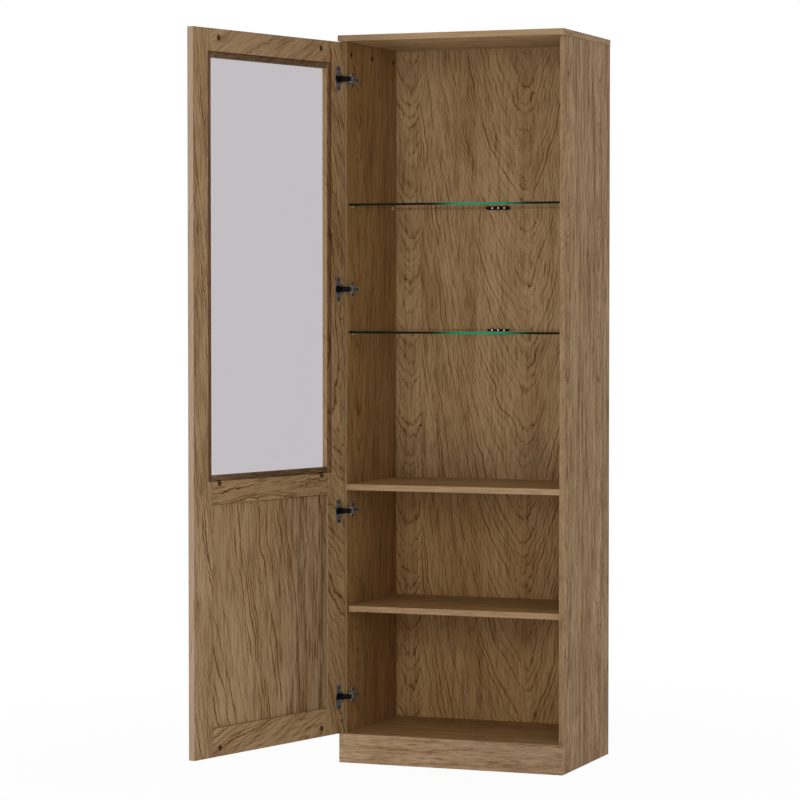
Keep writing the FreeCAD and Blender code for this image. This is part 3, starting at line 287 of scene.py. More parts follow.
# Painted light under the top board.
UNDER_TOP_LIGHT = (1.50, 1.60, 1.80)
# Painted light on the hinge stile's wood behind the pane, as if lit through the glass.
STILE_LIP_LIGHT = (1.75, 1.75, 1.65)
# Painted shade, darker and redder, on the free stile's wood behind the pane.
FREE_STILE_LIP_SHADE = (1.0, 0.80, 0.64)
PLAIN_LIP = (1.0, 1.0, 1.0)
# Painted shade: a redder tint on the rebate's wall beside the pane.
WALL_SHADE_TINT = (1.08, 0.90, 0.90)
WALL_REACH = 0.0012
# Painted light: the back board is lighter and warmer in the low compartments.
FOOT_LIGHT = (1.20, 1.12, 0.97)
FOOT_LEVEL = 0.76
FOOT_BLEND = 0.01

WOOD_ROUGHNESS = (0.52, 0.68)
WOOD_SHINE = 0.15
WOOD_BUMP = 0.25
WOOD_DEPTH = 0.0004

# --- Wood: the decor's figure ---------------------------------------------------------------------

# Each noise: its scales across, through and along the grain, its detail, and how far it is moved.
# The streaks are read along the flow of the lines instead.
NOISES = {
    "slow": dict(scales=(4.0, 4.0, 2.2), detail=1.0),
    "waver": dict(scales=(18.0, 18.0, 9.0), detail=1.0),
    "tremble": dict(scales=(90.0, 90.0, 80.0), detail=1.0),
    "zigzag": dict(scales=(130.0, 130.0, 14.0), detail=2.0, roughness=0.65),
    "pace": dict(scales=(3.0, 3.0, 12.0), detail=1.0, offset=(5.1, 0.0, 2.6)),
    "body": dict(scales=(40.0, 40.0, 9.0), detail=1.0),
    "streaks": dict(scales=(1.0, 1.0, 1.0), detail=3.0, roughness=0.65),
    "pores": dict(scales=(215.0, 215.0, 16.0), detail=2.0, roughness=0.65),
    "clouds": dict(scales=(13.0, 13.0, 4.0), detail=2.0),
    "stripes": dict(scales=(55.0, 55.0, 2.4), detail=2.0, offset=(0.7, 0.0, 3.3)),
    "strokes": dict(scales=(120.0, 120.0, 10.0), detail=1.0, offset=(1.9, 0.0, 6.1)),
    "smudges": dict(scales=(45.0, 45.0, 14.0), detail=2.0, offset=(4.2, 0.0, 9.1)),
    "fibres": dict(scales=(160.0, 160.0, 160.0), detail=4.0, roughness=0.75),
    "flecks": dict(scales=(500.0, 500.0, 500.0), detail=1.0),
}
# How far a board's seed moves the noises across, through and along the grain.
SEED_STEPS = (1.37, 0.71, 2.13)

# The cathedral tips: their pitch along the grain, the width after which they start again, how
# steeply the lines leave them and how fast that grows, to the left and to the right, the
# distances at which a line stops being near them, and how much closer the near lines stand.
TIP_PITCH = 0.037
PATTERN_REPEAT = 0.348
STEEP_START = (10.0, 16.0)
STEEP_GROWTH = (560.0, 1050.0)
TIP_REACH = (0.012, 0.05)
NEAR_CROWDING = 0.8
# How far the lines wander: in metres across the grain, and in lines along it. The value of a
# noise that moves nothing is NOISE_MIDDLE.
WAVER_REACH = 0.018
TREMBLE_REACH = 0.0048
PACE_SWING = 2.4
ZIGZAG_SWING = 1.45
NOISE_MIDDLE = 0.5

# The lines: how far apart those are that show, where the middle of a line lies between two whole
# counts, how wide and how strong its core and its shade are, and a number that makes a second,
# separate draw for each line.
LINE_GAP = 0.0085
LINE_MIDDLE = 0.5
CORE_WIDTH = 0.0018
SHADE_WIDTH = 0.0060
SHADE_MOST = 0.48
CORE_STRENGTH = 0.78
SHADE_STRENGTH = 0.36
SECOND_DRAW = 0.37
JUST_OVER_ONE = 1.001

# Ramps: where a value begins and ends to count, and, where it isn't 0 to 1, what it gives there.
SHOWN_RAMP = (-0.02, 0.05, 0.0, 0.40)
STRONG_RAMP = (0.50, 0.80, 0.0, 0.60)
CORE_WIDTH_RAMP = (0.3, 0.7, CORE_WIDTH * 0.6, CORE_WIDTH)
CORE_RAMP = (0.0, 0.7)
LIFT_RAMP = (0.2, 0.8, -0.25, 0.35)
BODY_RAMP = (0.34, 0.56, 0.45, 1.0)
CLOUD_RAMP = (0.30, 0.70)
SMUDGE_RAMP = (0.54, 0.74)
STREAK_RAMP = (0.44, 0.72)
STRIPE_RAMP = (0.40, 0.72)
STROKE_RAMP = (0.60, 0.68)
PORE_RAMP = (0.48, 0.60)
FIBRE_RAMP = (0.25, 0.75)
FLECK_RAMP = (0.60, 0.75)

# How the streaks follow the lines: their pace across the lines and along the grain.
FLOW_ACROSS = 0.9
FLOW_ALONG = 5.0
# How much of the smudges, pores and flecks shows, and how dark and how wide the painted shade along
# the rims is.
SMUDGE_SHARE = 0.45
PORE_SHARE = 0.32
FLECK_SHARE = 0.25
RIM_SHADE_SHARE = 0.75
RIM_SHADE_WIDTH = 0.004
# Painted shade: the sides darken where they meet the top board. The first place lies below the
# floor.
TOP_CORNER_SHADE = (("z", -1.0, 1.9845),)
# The lower panel runs into a groove on all four sides; painted shade darkens it there.
PANEL_GROOVE_SHADE = (("x", -0.247, 0.247), ("z", 0.1577, 0.745))


class Decor:
    """The settings of one board's printed oak decor.

    axes: the part axes that run across the grain, through the board and along the grain.
    seed: moves the noises, so that each board has a figure of its own.
    tip: where the column of cathedral tips stands across the grain.
    cuts: how far the pattern goes, on its two sides, before it starts again.
    scale: the size of the whole pattern.
    slope: how much steeper the lines leave the tips.
    lean: how far the grain is turned in the plane of the board, in radians.
    bend, wiggle: how far the lines wander slowly, and how much they waver and tremble.
    gap, contrast: how far apart the lines are, and how dark.
    stroke_share, stripe_share, streak_share: how dark the fine marks are.
    flip, upside: turn the pattern round from side to side, and from end to end.
    closed: the board is on the door, and its points are turned back to the closed door.
    band, band_tone: the part axis whose faces carry the edge band, and the band's colour, which on
    some boards is a lit or shaded copy: painted light or shade.
    tone: a factor for the whole board.
    inner: the axis and sign of the face that looks into the case, and its factor, which paints shade
    there, or light under the top board.
    sweep: an axis, two places on it, and the factor that holds beyond the second: painted shade that
    deepens along the axis.
    density: an axis, two places on it, and how much of the fine marks each shows.
    seams: for each axis, two places beyond which the board is in a groove or meets another board,
    and painted shade darkens it.
    foot: painted light, lighter and warmer, on the back board in the low compartments below
    FOOT_LEVEL.
    lip: a factor that paints light or shade on the wood behind the pane. The rebate's wall beside it
    takes a redder tint of painted shade.
    bores: the axes, places and reaches that bound the bores of the cams, where shade is painted.
    raw: the axis and sign of the face that is bare fibreboard.
    """

    tip = 0.0
    cuts = (0.317, 0.20)
    scale = 1.0
    slope = 1.0
    lean = 0.0
    bend = 0.012
    wiggle = 1.0
    gap = 1.0
    contrast = 0.8
    stroke_share = 0.10
    stripe_share = 0.20
    streak_share = 0.24
    flip = False
    upside = False
    closed = False
    band = None
    band_tone = BAND_TONE
    tone = None
    inner = None
    sweep = None
    density = None
    seams = ()
    foot = False
    lip = None
    bores = ()
    raw = None

    def __init__(self, axes, seed, **settings):
        self.axes = axes
        self.seed = seed
        for key, value in settings.items():
            if not hasattr(Decor, key):
                raise TypeError("a decor has no setting " + key)
            setattr(self, key, value)


def layer(g, place, name):
    """One of the decor's noises."""
    return g.noise(place, **NOISES[name])


def board_point(g, decor):
    """The point and the normal that are shaded, each by its part along x, y and z."""
    coordinates = g.add("ShaderNodeTexCoord")
    point, normal = coordinates.outputs["Object"], coordinates.outputs["Normal"]
    if decor.closed:
        point = closed_vector(g, point, "POINT")
        normal = closed_vector(g, normal, "VECTOR")
    return dict(zip("xyz", g.split(point))), dict(zip("xyz", g.split(normal)))


def grain_axes(g, decor, xyz, facing):
    """The place in the pattern: across, through and along its grain."""
    across, through, along = (xyz[axis] for axis in decor.axes)
    if decor.flip:
        across = g.times(across, -1.0)
    if decor.upside:
        along = g.times(along, -1.0)
    # A face that ends the grain carries a band whose own grain follows its long side.
    is_end = looks_along(g, facing, decor.axes[2])
    u = g.mix_values(is_end, across, through)
    n = g.mix_values(is_end, through, along)
    w = g.mix_values(is_end, along, across)
    # A long narrow edge carries a band whose lines lie across the board's thickness.
    is_edge = looks_along(g, facing, decor.axes[0])
    u = g.mix_values(is_edge, u, through)
    n = g.mix_values(is_edge, n, across)
    if decor.lean:
        cosine, sine = math.cos(decor.lean), math.sin(decor.lean)
        turned = g.times_plus(w, sine, g.times(u, cosine))
        w = g.times_plus(u, -sine, g.times(w, cosine))
        u = turned
    u = g.plus(u, -decor.tip)
    return [g.over(value, decor.scale) for value in (u, n, w)]


def growth_rings(g, decor, u, w, place):
    """A count that rises by one per growth line, how crowded the lines are, and 1 near a tip."""
    reaches = {"slow": decor.bend * 2.0, "waver": WAVER_REACH * decor.wiggle,
               "tremble": TREMBLE_REACH * decor.wiggle}
    bent = u
    for name, reach in reaches.items():
        bent = g.times_plus(g.plus(layer(g, place, name), -NOISE_MIDDLE), reach, bent)
    # Distance from the column of tips, with a new column beyond each cut.
    before = g.below(bent, -decor.cuts[0])
    beyond = g.above(bent, decor.cuts[1])
    aside = g.times_plus(g.minus(before, beyond), PATTERN_REPEAT, bent)
    is_right = g.above(aside, 0.0)
    distance = g.size(aside)
    start = g.mix_values(is_right, *STEEP_START)
    growth = g.mix_values(is_right, *(value * decor.slope for value in STEEP_GROWTH))
    steep = g.times_plus(distance, growth, start)
    climb = g.times(distance, g.times(g.plus(steep, start), 0.5))
    near = g.remap(distance, *TIP_REACH, 1.0, 0.0)
    rings = g.minus(g.over(w, TIP_PITCH), climb)
    rings = g.times_plus(layer(g, place, "pace"), PACE_SWING, rings)
    rings = g.times_plus(g.times(near, ZIGZAG_SWING), layer(g, place, "zigzag"), rings)
    crowd = g.math("SQRT", g.times_plus(steep, steep, TIP_PITCH ** -2))
    crowd = g.times(crowd, g.times_plus(near, NEAR_CROWDING, 1.0))
    return rings, crowd, near


def line_share(g, decor, number, crowd, near):
    """How strongly a line shows: only some of the crowded lines do, and some of those are strong."""
    hidden = g.short_of_one(g.over(1.0 / (LINE_GAP * decor.gap), crowd))
    kept = g.over(g.minus(g.chance(number), hidden), g.minus(JUST_OVER_ONE, hidden))
    shown = g.remap(kept, *SHOWN_RAMP)
    strong = g.remap(kept, *STRONG_RAMP)
    lift = g.times(near, g.remap(g.chance(g.plus(number, SECOND_DRAW)), *LIFT_RAMP))
    return g.plus(lift, g.plus(shown, strong), clamp=True)


def line_profile(g, rings, crowd, body):
    """How dark a line is across its width: a thin core, and a soft shade on one side of it."""
    signed = g.plus(g.math("FRACT", rings), -LINE_MIDDLE)
    off = g.size(signed)
    core_reach = g.times(crowd, g.remap(body, *CORE_WIDTH_RAMP))
    shade_reach = g.smaller(g.times(crowd, SHADE_WIDTH), SHADE_MOST)
    shade_reach = g.mix_values(g.above(signed, 0.0), core_reach, shade_reach)
    core = g.short_of_one(g.over(off, core_reach))
    shade = g.short_of_one(g.over(off, shade_reach))
    return g.times_plus(g.remap(core, *CORE_RAMP), CORE_STRENGTH, g.times(shade, SHADE_STRENGTH))


def line_figure(g, decor, rings, crowd, near, place):
    """How dark the growth lines make each point."""
    body = layer(g, place, "body")
    share = line_share(g, decor, g.math("FLOOR", rings), crowd, near)
    figure = g.times(line_profile(g, rings, crowd, body), share)
    return g.times(figure, g.remap(body, *BODY_RAMP))


def fine_marks(g, decor, rings, n, w, place, xyz):
    """How dark the streaks that follow the lines, and the marks that follow the grain, are."""
    flow = g.join(g.times(rings, FLOW_ACROSS), g.times(w, FLOW_ALONG), n)
    dark = g.times(g.remap(layer(g, flow, "streaks"), *STREAK_RAMP), decor.streak_share)
    stripes = g.remap(layer(g, place, "stripes"), *STRIPE_RAMP)
    dark = g.times_plus(stripes, decor.stripe_share, dark)
    strokes = g.remap(layer(g, place, "strokes"), *STROKE_RAMP)
    dark = g.times_plus(strokes, decor.stroke_share, dark)
    if decor.density:
        axis, begin, end, thin, thick = decor.density
        dark = g.times(dark, g.remap(xyz[axis], begin, end, thin, thick))
    return g.times_plus(g.remap(layer(g, place, "pores"), *PORE_RAMP), PORE_SHARE, dark)


def darken_seams(g, seams, dark, xyz):
    """Paints shade on the board where it runs into a groove or meets another board."""
    for axis, low, high in seams:
        rim = g.remap(xyz[axis], low + RIM_SHADE_WIDTH, low)
        rim = g.larger(rim, g.remap(xyz[axis], high - RIM_SHADE_WIDTH, high))
        dark = g.larger(dark, g.times(rim, RIM_SHADE_SHARE))
    return dark


def ground_colour(g, place):
    """The decor's pale ground, clouded, with greyer smudges."""
    colour = g.mix(g.remap(layer(g, place, "clouds"), *CLOUD_RAMP), WOOD_MID, WOOD_LIGHT)
    smudges = g.remap(layer(g, place, "smudges"), *SMUDGE_RAMP)
    return g.mix(g.times(smudges, SMUDGE_SHARE), colour, WOOD_GREY)


def tone_faces(g, decor, colour, xyz, facing):
    """The edge band, or a lit or shaded copy of it, the tone of the whole board, and painted light
    and shade on the inner face, along the sweep and in the low compartments.
    """
    # The edge band, or a lit or shaded copy of it that paints light or shade.
    if decor.band:
        share = g.times(looks_along(g, facing, decor.band), BAND_SHARE)
        colour = g.mix(share, colour, decor.band_tone)
    if decor.tone:
        colour = g.tint(colour, decor.tone)
    # Painted shade on the faces inside the case, or painted light under the top board.
    if decor.inner:
        axis, sign, factor = decor.inner
        looks_in = looks_along(g, facing, axis, sign)
        colour = g.mix(looks_in, colour, g.tint(colour, factor))
    # Painted shade that deepens along an axis.
    if decor.sweep:
        axis, begin, end, factor = decor.sweep
        fall = g.remap(xyz[axis], begin, end, 1.0, factor)
        colour = g.tint(colour, g.join(fall, fall, fall))
    # Painted light in the low compartments.
    if decor.foot:
        low = g.remap(xyz["z"], FOOT_LEVEL, FOOT_LEVEL - FOOT_BLEND)
        colour = g.mix(low, colour, g.tint(colour, FOOT_LIGHT))
    return colour


def paint_lip_light_and_shade(g, factor, colour, xyz, facing):
    """Painted light or shade on the wood behind the pane, and painted shade, a redder tint, on the
    rebate's wall beside it.
    """
    behind = g.below(g.size(xyz["x"]), PANE_HALF)
    behind = g.times(behind, g.above(xyz["z"], PANE_LEVELS[0]))
    behind = g.times(behind, g.below(xyz["z"], PANE_LEVELS[1]))
    lit = g.tint(colour, factor)
    off_edge = g.size(g.minus(g.size(xyz["x"]), PANE_HALF))
    wall = g.times(looks_along(g, facing, "x"), g.below(off_edge, WALL_REACH))
    wall = g.times(wall, g.minus(1.0, behind))
    colour = g.mix(wall, colour, g.tint(colour, WALL_SHADE_TINT))
    return g.mix(behind, colour, lit)


def bare_fibreboard(g, place):
    """The colour of the face that is never seen in use."""
    board = g.mix(g.remap(layer(g, place, "fibres"), *FIBRE_RAMP), RAW_DARK, RAW_LIGHT)
    flecks = g.remap(layer(g, place, "flecks"), *FLECK_RAMP)
    return g.mix(g.times(flecks, FLECK_SHARE), board, RAW_FLECK)


def paint_bore_shade(g, bores, colour, xyz):
    """Paints shade inside the cams' bores: they are coloured dark brown."""
    inside = 1.0
    for axis, places, reach in bores:
        inside = g.times(g.below(g.nearest(xyz[axis], places), reach), inside)
    return g.mix(inside, colour, BORE_SHADE)


def wood(name, axes, seed, **settings):
    """A printed oak decor: cathedral tips, long wavering lines and fine marks between them."""
    decor = Decor(axes, seed, **settings)
    material, g, shader = new_material(name)
    xyz, facing = board_point(g, decor)
    u, n, w = grain_axes(g, decor, xyz, facing)
    place = g.join(*(g.plus(value, seed * step) for value, step in zip((u, n, w), SEED_STEPS)))
    rings, crowd, near = growth_rings(g, decor, u, w, place)
    dark = fine_marks(g, decor, rings, n, w, place, xyz)
    figure = line_figure(g, decor, rings, crowd, near, place)
    dark = g.times_plus(figure, decor.contrast, dark, clamp=True)
    dark = darken_seams(g, decor.seams, dark, xyz)
    colour = g.mix(dark, ground_colour(g, place), WOOD_DARK)
    colour = tone_faces(g, decor, colour, xyz, facing)
    # Painted light or shade on the wood behind the pane.
    if decor.lip:
        colour = paint_lip_light_and_shade(g, decor.lip, colour, xyz, facing)
    if decor.raw:
        is_raw = looks_along(g, facing, *decor.raw)
        colour = g.mix(is_raw, colour, bare_fibreboard(g, place))
        dark = g.times(dark, g.minus(1.0, is_raw))
    # Painted shade inside the cams' bores.
    if decor.bores:
        colour = paint_bore_shade(g, decor.bores, colour, xyz)
    g.fill(shader, {
        "Base Color": colour,
        "Roughness": g.remap(dark, 0.0, 1.0, *WOOD_ROUGHNESS, smooth=False),
        "Specular IOR Level": WOOD_SHINE,
        "Normal": g.bump(g.times(dark, -1.0), WOOD_BUMP, WOOD_DEPTH)})
    return material


# --- Metal and plastic ---------------------------------------------------------------------------

# Scales per metre of worn patches and of drawn or eroded grain. The drawn grain runs along z.
METAL_PATCHES = (70.0, 70.0, 70.0)
METAL_DRAWN = (900.0, 900.0, 108.0)
PLASTIC_PATCHES = (90.0, 90.0, 90.0)
PLASTIC_GRAIN = (1400.0, 1400.0, 1400.0)
PATCH_RAMP = (0.3, 0.7)
# How far a metal's seed moves its noises along x, y and z.
METAL_SEED_STEPS = (1.0, 0.3, 0.7)
# How much roughness the patches and the grain add, and how far below the stated roughness the
# surface starts, to make up for it.
METAL_PATCH_ROUGH = 0.16
METAL_DRAWN_ROUGH = 0.08
METAL_ROUGH_BELOW = 0.08
PLASTIC_GRAIN_ROUGH = 0.15
PLASTIC_ROUGH_BELOW = 0.07


def metal(name, dark, light, roughness, seed, metallic=1.0, shine=0.5):
    """Plated steel with a fine drawn texture and slightly worn patches."""
    material, g, shader = new_material(name)
    place = g.vector("ADD", g.place(), tuple(seed * step for step in METAL_SEED_STEPS))
    drawn = g.noise(place, METAL_DRAWN)
    patches = g.noise(place, METAL_PATCHES, detail=3.0)
    rough = g.times_plus(patches, METAL_PATCH_ROUGH, roughness - METAL_ROUGH_BELOW)
    g.fill(shader, {
        "Base Color": g.mix(g.remap(patches, *PATCH_RAMP), dark, light),
        "Metallic": metallic,
        "Roughness": g.times_plus(drawn, METAL_DRAWN_ROUGH, rough),
        "Specular IOR Level": shine,
        "Normal": g.bump(drawn, strength=0.12, distance=0.0002)})
    return material


def plastic(name, dark, light, roughness, shine=0.3):
    """Moulded plastic with a fine spark-eroded grain."""
    material, g, shader = new_material(name)
    place = g.place()
    fine = g.noise(place, PLASTIC_GRAIN)
    patches = g.noise(place, PLASTIC_PATCHES)
    g.fill(shader, {
        "Base Color": g.mix(g.remap(patches, *PATCH_RAMP), dark, light),
        "Roughness": g.times_plus(fine, PLASTIC_GRAIN_ROUGH, roughness - PLASTIC_ROUGH_BELOW),
        "Specular IOR Level": shine,
        "Normal": g.bump(fine, strength=0.15, distance=0.0001)})
    return material


# The shelf lights: the places and the radius of their round windows, and the share of that
# radius that is fully white.
LENS_XS = (-0.014, 0.004, 0.022)
LENS_ZS = (1.5347, 1.1903)
LENS_WINDOW = 0.0013
LENS_CORE = 0.8
LENS_GLOW = 1.4
LENS_PATCHES = (400.0, 400.0, 400.0)
LENS_ROUGH_LEAST = 0.3
LENS_ROUGH_SWING = 0.1
LENS_BLACK = srgb(18, 10, 5)
LENS_WHITES = (srgb(236, 238, 240), srgb(250, 250, 250))


def lens_plastic():
    """The shelf lights: round white windows, each in its black surround."""
    material, g, shader = new_material("lens_opal")
    coordinates = g.add("ShaderNodeTexCoord")
    place = coordinates.outputs["Object"]
    facing = dict(zip("xyz", g.split(coordinates.outputs["Normal"])))
    x, _, z = g.split(place)
    dx = g.nearest(x, LENS_XS)
    dz = g.nearest(z, LENS_ZS)
    apart = g.math("SQRT", g.times_plus(dx, dx, g.times(dz, dz)))
    window = g.remap(apart, LENS_WINDOW, LENS_WINDOW * LENS_CORE)
    window = g.times(window, looks_along(g, facing, "y", -1.0))
    patches = g.noise(place, LENS_PATCHES)
    colour = g.mix(window, LENS_BLACK, g.mix(patches, *LENS_WHITES))
    g.fill(shader, {
        "Base Color": colour,
        "Roughness": g.times_plus(patches, LENS_ROUGH_SWING, LENS_ROUGH_LEAST),
        "Specular IOR Level": 0.1,
        "Emission Color": colour,
        "Emission Strength": LENS_GLOW})
    return material


# --- Glass ---------------------------------------------------------------------------------------

SMEAR_RAMP = (0.5, 0.8)
PANE_CLEAR = 0.95
PANE_TINTS = (srgb(195, 190, 194), srgb(197, 192, 196))
PANE_SMEARS = (7.0, 7.0, 3.0)
PANE_SMEAR_ROUGH = 0.01
PANE_BENDING = 1.12
SHELF_CLEAR = 0.9
SHELF_TINTS = (srgb(244, 250, 246), srgb(247, 252, 249))
SHELF_SMEARS = (9.0, 9.0, 9.0)
SHELF_SMEAR_ROUGH = 0.02
SHELF_BENDING = 1.5


def glass(name, smear_scales, tints, smear_rough, bending, clear):
    """Float glass with a faint body tint and the slightest smears.

    Glass would otherwise throw a solid shadow: clear is the share of the light that goes
    through it to the wood behind.
    """
    material, g, shader = new_material(name)
    smears = g.noise(g.place(), smear_scales, detail=3.0)
    path = g.add("ShaderNodeLightPath").outputs
    lights = g.larger(path["Is Shadow Ray"], path["Is Diffuse Ray"])
    g.fill(shader, {
        "Base Color": g.mix(smears, *tints),
        "Roughness": g.remap(smears, *SMEAR_RAMP, 0.0, smear_rough),
        "Transmission Weight": 1.0,
        "IOR": bending,
        "Alpha": g.times_plus(lights, -clear, 1.0)})
    return material


def door_pane():
    """The door's pane, faintly grey-lilac."""
    return glass("pane_glass", PANE_SMEARS, PANE_TINTS, PANE_SMEAR_ROUGH, PANE_BENDING,
                 PANE_CLEAR)


def shelf_pane():
    """The wide faces of a glass shelf, clear with the faintest green."""
    return glass("shelf_glass", SHELF_SMEARS, SHELF_TINTS, SHELF_SMEAR_ROUGH, SHELF_BENDING,
                 SHELF_CLEAR)


def pane_edge_shade():
    """The edge of the door's pane, coloured dark brown: painted shade of the rebate round it."""
    return plastic("pane_edge_shade", srgb(82, 46, 28), srgb(94, 54, 34), roughness=0.7,
                   shine=0.05)


EDGE_DEEP = srgb(2, 20, 10)
EDGE_SEA = srgb(20, 124, 90)
# Painted light: the whole edge glows a little, though it is no lamp.
EDGE_GLOW = 0.25
EDGE_RIPPLE = (60.0, 60.0, 300.0)
EDGE_FADE_RAMP = (0.2, 0.8, 0.85, 1.1)
EDGE_ROUGH_RAMP = (0.3, 0.7, 0.12, 0.22)
# The painted glow's middle along x, and how far from it the glow starts and stops fading.
GLOW_CENTRE = 0.077
GLOW_REACH = (0.045, 0.15)


def shelf_edge():
    """The polished edge of a glass shelf: bottle green, with painted light, a sea-green glow, where
    the lamp's light comes through the glass.
    """
    material, g, shader = new_material("shelf_edge")
    place = g.place()
    ripple = g.noise(place, EDGE_RIPPLE, detail=3.0)
    from_glow = g.size(g.plus(g.split(place)[0], -GLOW_CENTRE))
    fade = g.remap(from_glow, *GLOW_REACH, 1.0, 0.0)
    fade = g.times(fade, g.remap(ripple, *EDGE_FADE_RAMP), clamp=True)
    colour = g.mix(fade, EDGE_DEEP, EDGE_SEA)
    g.fill(shader, {
        "Base Color": colour,
        "Roughness": g.remap(ripple, *EDGE_ROUGH_RAMP),
        "Specular IOR Level": 0.04,
        "Emission Color": colour,
        "Emission Strength": EDGE_GLOW})
    return material


# --- Glass plates with rounded corners and fine polished arrises ---------------------------------

CORNER_STEPS = 4
ARRIS = 0.0005
SHELF_CORNER = 0.003
PANE_CORNER = 0.002


def outline_points(low, high, radius, inset):
    """Corner-rounded outline of a plate, pulled in by inset, as pairs along its two wide axes."""
    points = []
    corners = ((high[0], high[1]), (low[0], high[1]), (low[0], low[1]), (high[0], low[1]))
    for quarter, (corner_a, corner_b) in enumerate(corners):
        a = corner_a - math.copysign(radius, corner_a - (low[0] + high[0]) / 2.0)
        b = corner_b - math.copysign(radius, corner_b - (low[1] + high[1]) / 2.0)
        for step in range(CORNER_STEPS + 1):
            angle = math.pi / 2.0 * (quarter + step / CORNER_STEPS)
            reach = radius - inset
            points.append((a + reach * math.cos(angle), b + reach * math.sin(angle)))
    return points


def glass_plate(name, low, high, radius, place, face_material, edge_material):
    """A plate from its two corners, given along its wide axes and then through its thickness.

    place turns such a triple into a point of the part frame.
    """
    levels = ((low[2], ARRIS), (low[2] + ARRIS, 0.0), (high[2] - ARRIS, 0.0), (high[2], ARRIS))
    shape = bmesh.new()
    rings = []
    for level, inset in levels:
        points = outline_points(low, high, radius, inset)
        rings.append([shape.verts.new(place(a, b, level)) for a, b in points])
    count = len(rings[0])
    for lower, upper in zip(rings, rings[1:]):
        for k in range(count):
            after = (k + 1) % count
            face = shape.faces.new((lower[k], lower[after], upper[after], upper[k]))
            face.material_index = 1
    shape.faces.new(list(reversed(rings[0])))
    shape.faces.new(rings[-1])
    bmesh.ops.recalc_face_normals(shape, faces=shape.faces)
    mesh = bpy.data.meshes.new(name)
    shape.to_mesh(mesh)
    shape.free()
    mesh.materials.append(face_material)
    mesh.materials.append(edge_material)
    piece = bpy.data.objects.new(name, mesh)
    bpy.context.scene.collection.objects.link(piece)
    return piece


def make_glass_shelves():
    faces, edges = shelf_pane(), shelf_edge()
    for node in ("glass_shelf_upper", "glass_shelf_lower"):
        low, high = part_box(node)
        piece = glass_plate(node + "_polished", low, high, SHELF_CORNER,
                            lambda a, b, level: (a, b, level), faces, edges)
        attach(piece, "case")
        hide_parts(node)


def on_open_door(x, z, y):
    """A point of the closed door, in the place that it has at rest, when the door is open."""
    px, py = HINGE_AXIS
    cosine, sine = math.cos(-DOOR_OPEN), math.sin(-DOOR_OPEN)
    dx, dy = x - px, y - py
    return (px + cosine * dx - sine * dy, py + sine * dx + cosine * dy, z)


def make_door_pane():
    low = (-PANE_HALF, PANE_LEVELS[0], PANE_FACES[0])
    high = (PANE_HALF, PANE_LEVELS[1], PANE_FACES[1])
    piece = glass_plate("door_glass_pane", low, high, PANE_CORNER, on_open_door,
                        door_pane(), pane_edge_shade())
    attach(piece, "door")
    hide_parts("door_glass")


# --- Materials for the CAD nodes -----------------------------------------------------------------

# Where the cams are bored in the sides and in the door's rails, and how far round those places
# the bores reach: across a bore, and strictly between the two faces of a side or of a rail.
CAM_REACH = 0.0085
SIDE_REACH = 0.0078
RAIL_REACH = 0.0093
SIDE_MIDDLE = 0.316
SIDE_CAM_DEPTHS = (0.045, 0.202, 0.364)
SIDE_CAM_LEVEL = 1.950
RAIL_CAM_PLACES = (-0.218, 0.218)
RAIL_MIDDLE = -0.0045
TOP_RAIL_CAMS = 1.9585
MIDDLE_RAIL_CAMS = 0.799
BOTTOM_RAIL_CAMS = 0.1055


def use(material, *names):
    """Gives the material to every slot of the named CAD nodes."""
    for name in names:
        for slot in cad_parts[name].material_slots:
            slot.material = material


def side_bores(sign):
    """Where a side's cams are bored: the left side's sign is -1, the right side's is 1."""
    return (("x", (sign * SIDE_MIDDLE,), SIDE_REACH), ("y", SIDE_CAM_DEPTHS, CAM_REACH),
            ("z", (SIDE_CAM_LEVEL,), CAM_REACH))


def rail_bores(level):
    """Where a door rail's cams are bored, in the closed door."""
    return (("x", RAIL_CAM_PLACES, CAM_REACH), ("y", (RAIL_MIDDLE,), RAIL_REACH),
            ("z", (level,), CAM_REACH))


